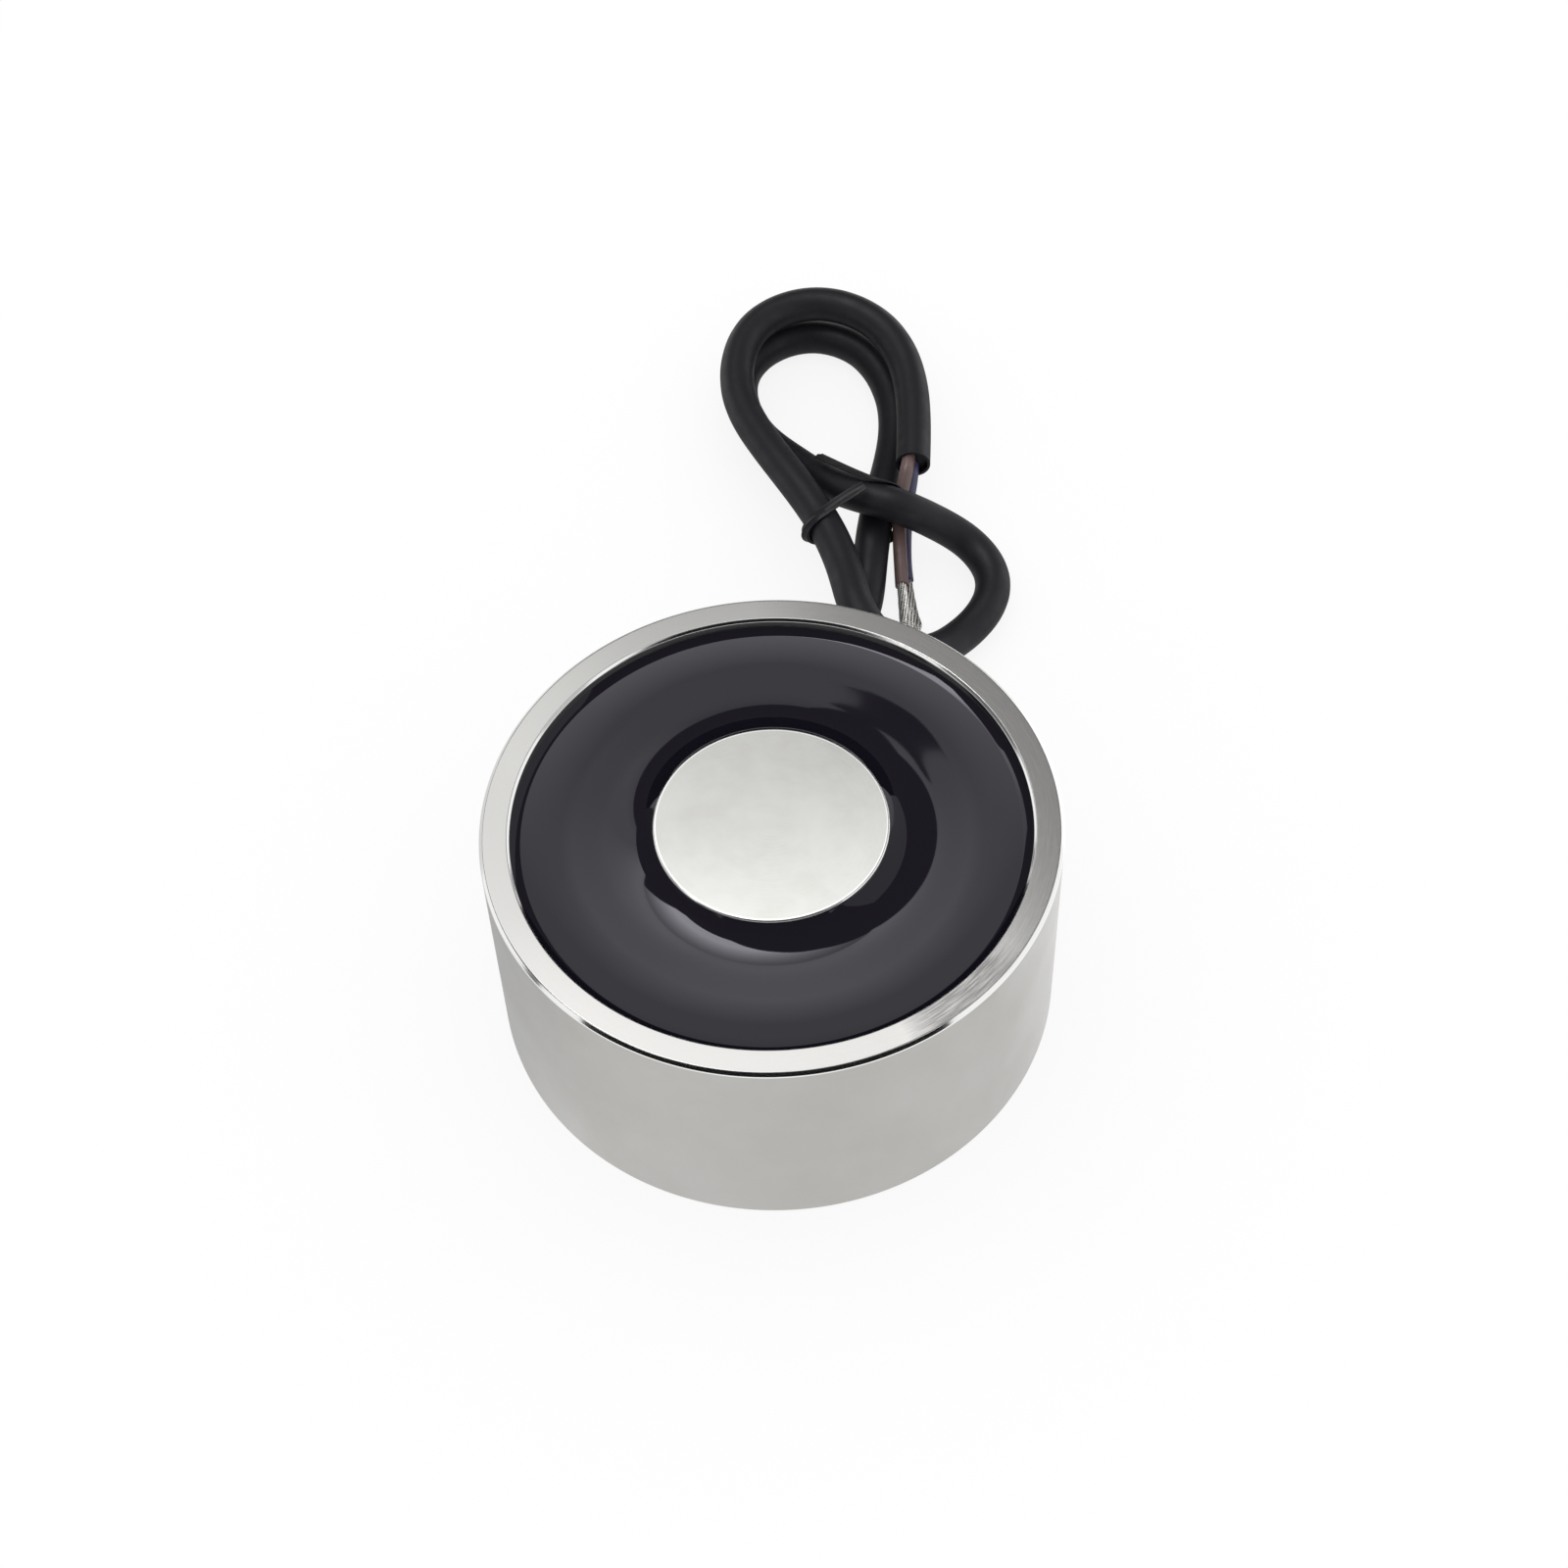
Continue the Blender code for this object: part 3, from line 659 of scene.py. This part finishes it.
def enamelled_copper():
    """Copper wire under clear enamel, wound turn beside turn, with painted light on each turn and painted
    shade between turns.
    """
    material, tree, shader = new_finish("copper_wire", (0.72, 0.30, 0.14), 0.35, 1.0)
    height = coordinates(tree)["Z"]
    turns = maths(tree, "SINE", maths(tree, "MULTIPLY", height, math.tau / WIRE_TURN_HEIGHT))
    lit_on_turn = remap(tree, turns, -1.0, 0.2)
    copper = blend_colours(tree, lit_on_turn, COPPER_SHADED_BETWEEN_TURNS, COPPER_LIT)
    tree.links.new(copper, shader.inputs["Base Color"])
    bump(tree, shader, turns, WIRE_TURN_DEPTH)
    return material


def winding_film():
    """Amber polyester tape with the lap of its turns."""
    material, tree, shader = new_finish("winding_film", (0.72, 0.50, 0.08), 0.22)
    height = coordinates(tree)["Z"]
    lap = maths(tree, "FRACT", maths(tree, "MULTIPLY", height, 1 / TAPE_LAP_HEIGHT))
    film = blend_colours(tree, lap, FILM_LAPPED, FILM_SINGLE)
    tree.links.new(film, shader.inputs["Base Color"])
    creases = noise(tree, object_place(tree), 700.0, 3.0)
    bump(tree, shader, creases, FILM_CREASE_DEPTH, 0.5)
    return material


# Pieces of the pot

def pot_shell(steel):
    """The pot and its pole in one, with small breaks on the edges and the lead's flared hole."""
    point_depth = THREAD_CREST_RADIUS / math.tan(DRILL_POINT_ANGLE / 2)
    outline = (
        (0.0, SCREW_HOLE_DEPTH + point_depth, 0.0),
        (THREAD_CREST_RADIUS, SCREW_HOLE_DEPTH, 0.0),
        (THREAD_CREST_RADIUS, SCREW_HOLE_DEPTH - THREAD_PITCH, 0.0),
        (THREAD_RADIUS, SCREW_HOLE_DEPTH - THREAD_PITCH, 0.0),
        (THREAD_RADIUS, SCREW_COUNTERSINK, 0.0),
        (THREAD_RADIUS + SCREW_COUNTERSINK, 0.0, EDGE_ROUNDING),
        (POT_RADIUS - BACK_CHAMFER, 0.0, EDGE_ROUNDING),
        (POT_RADIUS, BACK_CHAMFER, EDGE_ROUNDING),
        (POT_RADIUS, POT_HEIGHT - FACE_CHAMFER, SHOULDER_ROUNDING),
        (POT_RADIUS - FACE_CHAMFER, POT_HEIGHT, EDGE_ROUNDING),
        (CAVITY_RADIUS + BORE_CHAMFER, POT_HEIGHT, EDGE_ROUNDING),
        (CAVITY_RADIUS, POT_HEIGHT - BORE_CHAMFER, EDGE_ROUNDING),
        (CAVITY_RADIUS, BASE_THICKNESS, 0.0),
        (POLE_RADIUS, BASE_THICKNESS, 0.0),
        (POLE_RADIUS, POT_HEIGHT - POLE_CHAMFER, EDGE_ROUNDING),
        (POLE_RADIUS - POLE_CHAMFER, POT_HEIGHT, EDGE_ROUNDING),
        (0.0, POT_HEIGHT, 0.0),
    )
    shell = add_piece(
        "pot_shell", turned(with_supports(outline), POT_STEPS), steel,
        ["pot_body"], 20
    )
    cut_lead_hole(shell)
    return shell


def turned_about_lead(outline):
    """A bmesh turned from (radius, distance, rounding) points about the line of the lead's hole."""
    mesh = turned(outline, LEAD_HOLE_STEPS)
    lay_out = (
        Matrix.Translation((0.0, 0.0, LEAD_HEIGHT))
        @ Matrix.Rotation(-LEAD_HOLE_ANGLE, 4, "Z")
        @ Matrix.Rotation(math.radians(-90), 4, "X")
    )
    bmesh.ops.transform(mesh, matrix=lay_out, verts=mesh.verts)
    return mesh


def cut_lead_hole(shell):
    """Cuts the lead's hole through the wall, flared a little where it comes out."""
    hole = LEAD_HOLE_DIAMETER / 2
    outline = (
        (0.0, CAVITY_RADIUS - LEAD_HOLE_OVERSHOOT, 0.0),
        (hole, CAVITY_RADIUS - LEAD_HOLE_OVERSHOOT, 0.0),
        (hole, POT_RADIUS - LEAD_HOLE_FLARE, 0.0),
        (hole + 2 * LEAD_HOLE_FLARE, POT_RADIUS + LEAD_HOLE_FLARE, 0.0),
        (0.0, POT_RADIUS + LEAD_HOLE_FLARE, 0.0),
    )
    mesh = turned_about_lead(outline)
    cutter = object_from("lead_hole_cutter", mesh)
    cut = shell.modifiers.new("lead hole", "BOOLEAN")
    cut.operation = "DIFFERENCE"
    cut.object = cutter
    shown = shell.evaluated_get(bpy.context.evaluated_depsgraph_get())
    whole = shell.data
    shell.data = bpy.data.meshes.new_from_object(shown)
    shell.modifiers.clear()
    bpy.data.objects.remove(cutter)
    bpy.data.meshes.remove(whole)


def screw_thread(steel):
    """The thread's ridge, which winds down the wall of the hole in the back."""
    mesh = bmesh.new()
    root = THREAD_RADIUS + 2 * EDGE_ROUNDING
    profile = (
        (root, -THREAD_ROOT_WIDTH / 2),
        (root, THREAD_ROOT_WIDTH / 2),
        (THREAD_CREST_RADIUS, THREAD_CREST_WIDTH / 2),
        (THREAD_CREST_RADIUS, -THREAD_CREST_WIDTH / 2),
    )
    corners = [mesh.verts.new((radius, 0.0, THREAD_START + height)) for radius, height in profile]
    start = mesh.faces.new(corners)
    bmesh.ops.spin(
        mesh, geom=[start], cent=(0, 0, 0), axis=(0, 0, 1), angle=math.tau * THREAD_TURNS,
        steps=THREAD_TURNS * THREAD_STEPS, dvec=(0, 0, THREAD_PITCH / THREAD_STEPS),
    )
    return add_piece("screw_thread", mesh, steel)


def meniscus(contact_radius, side, rise, reach, fall):
    """(radius, height) points from where the resin meets a wall down to its flat top."""
    points = []
    for step in range(MENISCUS_STEPS + 1):
        share = step / MENISCUS_STEPS
        points.append((contact_radius + side * reach * share, RESIN_TOP + rise * (1 - share) ** fall, 0.0))
    return points


def resin_casting(resin):
    """The resin that fills the pot round the coil and creeps up the pole and the wall."""
    inner = POLE_RADIUS - RESIN_OVERLAP
    outer = CAVITY_RADIUS + RESIN_OVERLAP
    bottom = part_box("potting_resin")[0].z
    at_pole = meniscus(inner, 1, POLE_MENISCUS_RISE, POLE_MENISCUS_REACH, POLE_MENISCUS_FALL)
    at_wall = meniscus(outer, -1, WALL_MENISCUS_RISE, WALL_MENISCUS_REACH, WALL_MENISCUS_FALL)
    underside = [
        (outer, bottom, 0.0),
        (COIL_POCKET_RADIUS, bottom, 0.0),
        (COIL_POCKET_RADIUS, COIL_POCKET_TOP, 0.0),
        (inner, COIL_POCKET_TOP, 0.0),
    ]
    mesh = turned(at_pole + at_wall[::-1] + underside, POT_STEPS)
    return add_piece("resin_casting", mesh, resin, ["potting_resin"], 60)


# Pieces of the lead

def sheath_points():
    start = LEAD_DIRECTION * (CAVITY_RADIUS + SHEATH_INSET)
    straight = LEAD_DIRECTION * (POT_RADIUS + SHEATH_STRAIGHT_RUN)
    route = [(start.x, start.y, LEAD_HEIGHT), (straight.x, straight.y, LEAD_HEIGHT - SHEATH_DROOP)]
    return curve_through(route + from_mouth(SHEATH_ROUTE), SHEATH_SPACING)


def sheath(points, black):
    mesh = bmesh.new()
    frames = frames_along(points)
    end = sweep(mesh, frames, round_section(SHEATH_DIAMETER, SHEATH_SIDES))
    into = -frames[-1].to_3x3().col[2]
    hollow_end(mesh, end, SHEATH_WALL, SHEATH_END_DEPTH, into)
    return add_piece("lead_sheath", mesh, black, ["cable_sheath"], 50)


def core(name, node, route, insulation, sheath_end):
    """One stripped core, from inside the sheath's end to its own cut end."""
    end_place, end_direction = sheath_end
    first = Vector(from_mouth(route)[0])
    away = first - end_place
    away -= end_direction * away.dot(end_direction)
    inside = end_place + away.normalized() * CORE_START_SPREAD
    tucked = [tuple(inside - end_direction * CORE_TUCK), tuple(inside - end_direction * CORE_TUCK / 2)]
    points = curve_through(tucked + from_mouth(route)[1:], WIRE_SPACING)
    mesh = bmesh.new()
    frames = frames_along(points)
    end = sweep(mesh, frames, round_section(CORE_DIAMETER, WIRE_SIDES))
    hollow_end(mesh, end, CORE_WALL, CORE_END_DEPTH, -frames[-1].to_3x3().col[2])
    return add_piece(name, mesh, insulation, [node], 50)


def strands(name, node, route, tinned, splay):
    """A bare end: a middle wire and two rings of wires in a loose twist that opens at the tip."""
    line = from_mouth(route)
    back = Vector(line[0]) - (Vector(line[1]) - Vector(line[0])).normalized() * STRAND_TUCK
    points = curve_through([tuple(back)] + line, WIRE_SPACING)
    frames = frames_along(points)
    section = round_section(STRAND_DIAMETER, STRAND_SIDES)
    run = np.concatenate(([0.0], np.cumsum(np.linalg.norm(np.diff(points, axis=0), axis=1))))
    mesh = bmesh.new()
    sweep(mesh, frames, section)
    for count, radius, shift in STRAND_RINGS:
        for wire in range(count):
            path = []
            unlike_others = 0.6 + 0.4 * math.cos(3 * wire)
            for frame_here, reach in zip(frames, run):
                turn = math.tau * (wire / count + reach / STRAND_LAY) + shift
                loosened = radius * (1 + splay * (reach / run[-1]) ** 3 * unlike_others)
                spot = Vector((math.cos(turn) * loosened, math.sin(turn) * loosened, 0.0))
                path.append(frame_here @ spot)
            sweep(mesh, frames_along(np.array(path)), section)
    return add_piece(name, mesh, tinned, [node], 50)


def tie_section():
    """Half flat tape and half bead: a thin strip with a wire in its middle."""
    half = TIE_WIDTH / 2
    bead = TIE_WIRE_DIAMETER / 2
    edge = TIE_THICKNESS / 4
    foot = (edge * 1.2, bead * 1.3)
    one_side = [(edge, half), foot, (bead, 0.0), (foot[0], -foot[1]), (edge, -half)]
    return one_side + [(-x, y) for x, y in one_side[::-1]]


def off_cord(points, centres):
    """For each point, the way to it from the nearest point of a cord's middle line."""
    away = points[:, None] - centres[None]
    nearest = np.linalg.norm(away, axis=2).argmin(axis=1)
    return away[np.arange(len(points)), nearest]


def drawn_snug(points, held):
    """The tie's points drawn tight round the cords that it holds, with both its ends kept in place."""
    points = points.copy()
    for _ in range(TIE_DRAWS):
        points[1:-1] += 0.25 * (points[:-2] + points[2:] - 2 * points[1:-1])
        for centres, radius in held:
            away = off_cord(points, centres)
            reach = np.linalg.norm(away, axis=1)[:, None]
            points += away / reach * np.maximum(radius + TIE_CLEARANCE - reach, 0.0)
    return points


def twist_tie(held, black):
    """The flat plastic-coated tie, which lies flat on its cords and is folded double at the far left."""
    points = drawn_snug(curve_through(from_mouth(TIE_ROUTE), WIRE_SPACING), held)
    ways = [off_cord(points, centres) for centres, _ in held]
    gaps = [np.linalg.norm(way, axis=1) - radius for way, (_, radius) in zip(ways, held)]
    nearest = np.argmin(gaps, axis=0)
    outward = np.array([ways[cord][index] for index, cord in enumerate(nearest)])
    outward /= np.linalg.norm(outward, axis=1)[:, None]
    for _ in range(TIE_DRAWS // 4):
        outward[1:-1] = (outward[:-2] + 2 * outward[1:-1] + outward[2:]) / 4
    far_left = points[:, 0].argmin()
    off = np.linalg.norm(points - points[far_left], axis=1)
    folded = np.exp(-(off / TIE_FOLD_REACH) ** 2)
    points = points + outward * (TIE_FOLD_LIFT * folded)[:, None]
    frames = [
        frame_here @ Matrix.Diagonal((1 + TIE_FOLD_SWELL * share, 1, 1, 1))
        for frame_here, share in zip(frames_along(points, outward), folded)
    ]
    mesh = bmesh.new()
    sweep(mesh, frames, tie_section())
    return add_piece("twist_tie", mesh, black, ["cable_tie"], 50)


def lead_seal(resin):
    """The resin that closes the gap round the sheath in its hole."""
    mouth = POT_RADIUS - LEAD_HOLE_FLARE
    hole = LEAD_HOLE_DIAMETER / 2 + RESIN_OVERLAP
    inner = SHEATH_DIAMETER / 2 - RESIN_OVERLAP
    outline = (
        (inner, CAVITY_RADIUS + SHEATH_INSET, 0.0),
        (hole, CAVITY_RADIUS + SHEATH_INSET, 0.0),
        (hole, mouth, 0.0),
        ((inner + hole) / 2, mouth - LEAD_SEAL_DISH, 0.0),
        (inner, mouth + LEAD_SEAL_DISH, 0.0),
    )
    mesh = turned_about_lead(outline)
    return add_piece("lead_seal", mesh, resin)


# Studio

STUDIO_CENTRE = Vector((0.0, 0.0, POT_HEIGHT))
LEAD_MIDDLE = (0.012, 0.080, 0.0)
FLOOR_HALF_WIDTH = 2.0
FLOOR_DROP = 0.00005
FLOOR_WHITE_SHARE = 0.85
WORLD_LIGHT = 1.03
SOFTBOX_HEIGHT = 54.5
# The dark shape in front of the softbox, and the brighter one above it, from the softbox's middle
FLAG_CORNERS = (
    (0.034, -0.071), (0.037, -0.075), (0.047, -0.077), (0.040, -0.095), (0.034, -0.13), (0.125, -0.13),
    (0.125, -0.080), (0.088, -0.074), (0.068, -0.070), (0.073, -0.057), (0.083, -0.044), (0.090, -0.038),
    (0.091, -0.030), (0.087, -0.025), (0.078, -0.033), (0.055, -0.035), (0.040, -0.050), (0.043, -0.058),
    (0.037, -0.064),
)
LAMP_CORNERS = (
    (0.10, 0.135), (0.07, 0.24), (0.0, 0.33), (-0.15, 0.48), (-0.45, 0.72), (-0.62, 0.62), (-0.34, 0.135),
)


def toward(azimuth, elevation, distance):
    """A place seen from the pot, with azimuth from +Y towards +X, in degrees."""
    across = math.radians(azimuth)
    up = math.radians(elevation)
    direction = Vector((math.sin(across) * math.cos(up), math.cos(across) * math.cos(up), math.sin(up)))
    return STUDIO_CENTRE + direction * distance


def sheet_between(left, right, bottom, top):
    mesh = bmesh.new()
    bmesh.ops.create_grid(mesh, x_segments=1, y_segments=1, size=0.5)
    bmesh.ops.scale(mesh, vec=(right - left, top - bottom, 1.0), verts=mesh.verts)
    bmesh.ops.translate(mesh, vec=((left + right) / 2, (bottom + top) / 2, 0.0), verts=mesh.verts)
    return mesh


def cut_sheet(corners):
    mesh = bmesh.new()
    mesh.faces.new([mesh.verts.new((x, y, 0.0)) for x, y in corners])
    return mesh


def panel(name, azimuth, elevation, distance, mesh, material):
    """A flat panel that faces the pot and shows only in reflections."""
    board = object_from(name, mesh)
    board.data.materials.append(material)
    spot = toward(azimuth, elevation, distance)
    turn = (STUDIO_CENTRE - spot).to_track_quat("Z", "Y").to_matrix().to_4x4()
    board.matrix_world = Matrix.Translation(spot) @ turn
    board.visible_camera = False
    board.visible_diffuse = False
    board.visible_shadow = False
    board.visible_transmission = False


def bare_material(name):
    """A material with nothing in its node tree yet."""
    material = bpy.data.materials.new(name)
    material.use_nodes = True
    material.node_tree.nodes.clear()
    return material, material.node_tree


def show_glow(tree, strength):
    glow = place(tree, "ShaderNodeEmission", {"Strength": strength})
    place(tree, "ShaderNodeOutputMaterial", {"Surface": glow.outputs[0]})


def softbox_glow():
    """A soft glow that is dim at the bottom and brightest at the top."""
    material, tree = bare_material("softbox_glow")
    spot = coordinates(tree)
    dim = remap(tree, spot["Y"], -0.12, -0.07, -0.2, 0.0)
    sides = remap(tree, maths(tree, "ABSOLUTE", spot["X"]), 0.055, 0.10, 0.0, 0.25)
    even = remap(tree, spot["Y"], -0.02, 0.10, 0.95, 2.0)
    show_glow(tree, maths(tree, "ADD", maths(tree, "ADD", even, dim), sides))
    return material


def lamp_glow():
    """A glow that goes on from the softbox and grows brighter to the top left."""
    material, tree = bare_material("lamp_glow")
    spot = coordinates(tree)
    high = remap(tree, spot["Y"], 0.15, 0.35, 1.7, 6.0)
    fade = remap(tree, spot["X"], -0.05, 0.10, 1.0, 0.6)
    show_glow(tree, maths(tree, "MULTIPLY", high, fade))
    return material


def even_glow(name, strength):
    material, tree = bare_material(name)
    show_glow(tree, strength)
    return material


def black_card():
    material, _, shader = new_finish("card_black", (0.01, 0.01, 0.01), 0.9)
    shader.inputs["Specular IOR Level"].default_value = 0.0
    return material


def shown_rays(tree):
    """1 for rays from the camera, off metal and through glass, and 0 for the light's own."""
    paths = place(tree, "ShaderNodeLightPath").outputs
    seen = maths(tree, "ADD", paths["Is Camera Ray"], paths["Is Glossy Ray"])
    return maths(tree, "MINIMUM", maths(tree, "ADD", seen, paths["Is Transmission Ray"]), 1.0)


def white_floor():
    """A white floor that shows white and keeps a faint shadow, with painted shade to the left and under the
    lead and a painted brighter patch to the right, which only metal shows.
    """
    mesh = bmesh.new()
    bmesh.ops.create_grid(mesh, x_segments=1, y_segments=1, size=FLOOR_HALF_WIDTH)
    bmesh.ops.translate(mesh, verts=mesh.verts, vec=(0.0, 0.0, -FLOOR_DROP))
    floor = object_from("floor", mesh)
    material, tree = bare_material("floor_white")
    matt = place(tree, "ShaderNodeBsdfDiffuse", {"Color": (1.0, 1.0, 1.0, 1.0)})
    mirrored = place(tree, "ShaderNodeLightPath").outputs["Is Glossy Ray"]
    # Painted light and shade that only reflections show: dimmer towards the left and under the lead,
    # brighter towards the right
    left = remap(tree, towards(tree, 290, 0.5, 0.95), 0.0, 1.0, 0.0, -0.36)
    right = remap(tree, towards(tree, 45, 0.3, 0.95), 0.0, 1.0, 0.0, 0.22)
    away = place(tree, "ShaderNodeVectorMath", {0: object_place(tree), 1: LEAD_MIDDLE}, operation="DISTANCE")
    shade_under_lead = remap(tree, away.outputs["Value"], 0.035, 0.060, -0.75, 0.0)
    mirrored_light_and_shade = maths(tree, "ADD", maths(tree, "ADD", left, right), maths(tree, "ADD", shade_under_lead, 0.03))
    strength = maths(tree, "MULTIPLY_ADD", mirrored, mirrored_light_and_shade, 1.0)
    white = place(tree, "ShaderNodeEmission", {"Strength": strength})
    share = maths(tree, "MULTIPLY", shown_rays(tree), FLOOR_WHITE_SHARE)
    inputs = {0: share, 1: matt.outputs[0], 2: white.outputs[0]}
    mixed = place(tree, "ShaderNodeMixShader", inputs)
    place(tree, "ShaderNodeOutputMaterial", {"Surface": mixed.outputs[0]})
    floor.data.materials.append(material)


def white_world():
    world = bpy.data.worlds.new("studio")
    bpy.context.scene.world = world
    world.use_nodes = True
    tree = world.node_tree
    tree.nodes.clear()
    strength = remap(tree, shown_rays(tree), 0.0, 1.0, WORLD_LIGHT, 1.0)
    glow = place(tree, "ShaderNodeBackground", {"Color": (1.0, 1.0, 1.0, 1.0), "Strength": strength})
    place(tree, "ShaderNodeOutputWorld", {"Surface": glow.outputs[0]})


def studio():
    """Floor, world, lights and cards, each placed by azimuth and height in degrees, and distance."""
    white_floor()
    white_world()
    dark = black_card()
    dim = even_glow("card_dim", 0.15)
    half_lit = even_glow("card_half_lit", 0.55)
    panel("softbox", 0, SOFTBOX_HEIGHT, 1.0, sheet_between(-0.50, 0.108, -0.13, 0.14), softbox_glow())
    panel("card_behind", 0, SOFTBOX_HEIGHT, 1.05, sheet_between(-0.8, 0.7, -0.4, 0.5), dim)
    panel("lamp", 0, SOFTBOX_HEIGHT, 0.99, cut_sheet(LAMP_CORNERS), lamp_glow())
    panel("flag", 0, SOFTBOX_HEIGHT, 0.98, cut_sheet(FLAG_CORNERS), dim)
    panel("card_back", 0, 18, 1.1, sheet_between(-0.8, 0.8, -0.26, 0.36), dark)
    panel("card_above", 0, 88, 1.1, sheet_between(-0.8, 0.8, -0.47, 0.47), dim)
    panel("card_left", -60, 48, 1.15, sheet_between(-1.0, 0.45, -0.75, 0.45), dim)
    panel("card_right", 60, 45, 1.15, sheet_between(-0.45, 1.0, -0.45, 0.45), half_lit)
    panel("card_front", 180, 32, 1.1, sheet_between(-1.25, 1.8, -0.19, 0.30), dark)
    panel("card_over_front", 180, 57, 1.15, sheet_between(-0.6, 0.6, -0.25, 0.25), dim)
    bpy.context.scene.view_settings.view_transform = "Standard"


# The whole

def build():
    add_camera()

    steel = nickel_plate()
    resin = cast_resin()
    black = plastic("sheath_plastic", (0.0125, 0.0125, 0.0180), 0.48, shine=0.35)
    brown = plastic("brown_plastic", (0.155, 0.10, 0.095), 0.38, shine=0.5)
    blue = plastic("blue_plastic", (0.072, 0.066, 0.145), 0.40, shine=0.5)
    tie_black = plastic("tie_plastic", (0.010, 0.010, 0.013), 0.42, shine=0.35)
    tinned = tinned_wire()
    copper = enamelled_copper()

    points = sheath_points()
    sheath_end = (Vector(points[-1]), Vector(tangents(points)[-1]))
    held = [(points, SHEATH_DIAMETER / 2)]
    for route in (BROWN_CORE_ROUTE, BLUE_CORE_ROUTE):
        held.append((curve_through(from_mouth(route), WIRE_SPACING), CORE_DIAMETER / 2))
    cable = sheath(points, black)
    on_cable = [
        core("brown_lead", "brown_core_end", BROWN_CORE_ROUTE, brown, sheath_end),
        core("blue_lead", "blue_core_end", BLUE_CORE_ROUTE, blue, sheath_end),
        strands("brown_lead_strands", "brown_strands", BROWN_STRAND_ROUTE, tinned, 0.5),
        strands("blue_lead_strands", "blue_strands", BLUE_STRAND_ROUTE, tinned, 0.3),
        twist_tie(held, tie_black),
    ]

    pot_shell(steel)
    screw_thread(steel)
    resin_casting(resin)
    lead_seal(resin)

    inside = {
        "coil_bobbin": plastic("bobbin_nylon", (0.75, 0.74, 0.70), 0.5, 0.93),
        "coil_winding": copper,
        "coil_start_lead": copper,
        "coil_finish_lead": copper,
        "winding_tape": winding_film(),
        "brown_core_inside": brown,
        "blue_core_inside": blue,
    }
    sleeve = plastic("sleeve_plastic", (0.03, 0.03, 0.03), 0.5)
    inside["start_splice_sleeve"] = sleeve
    inside["finish_splice_sleeve"] = sleeve
    for node, material in inside.items():
        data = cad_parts[node].data
        data.materials.clear()
        data.materials.append(material)

    studio()


build()
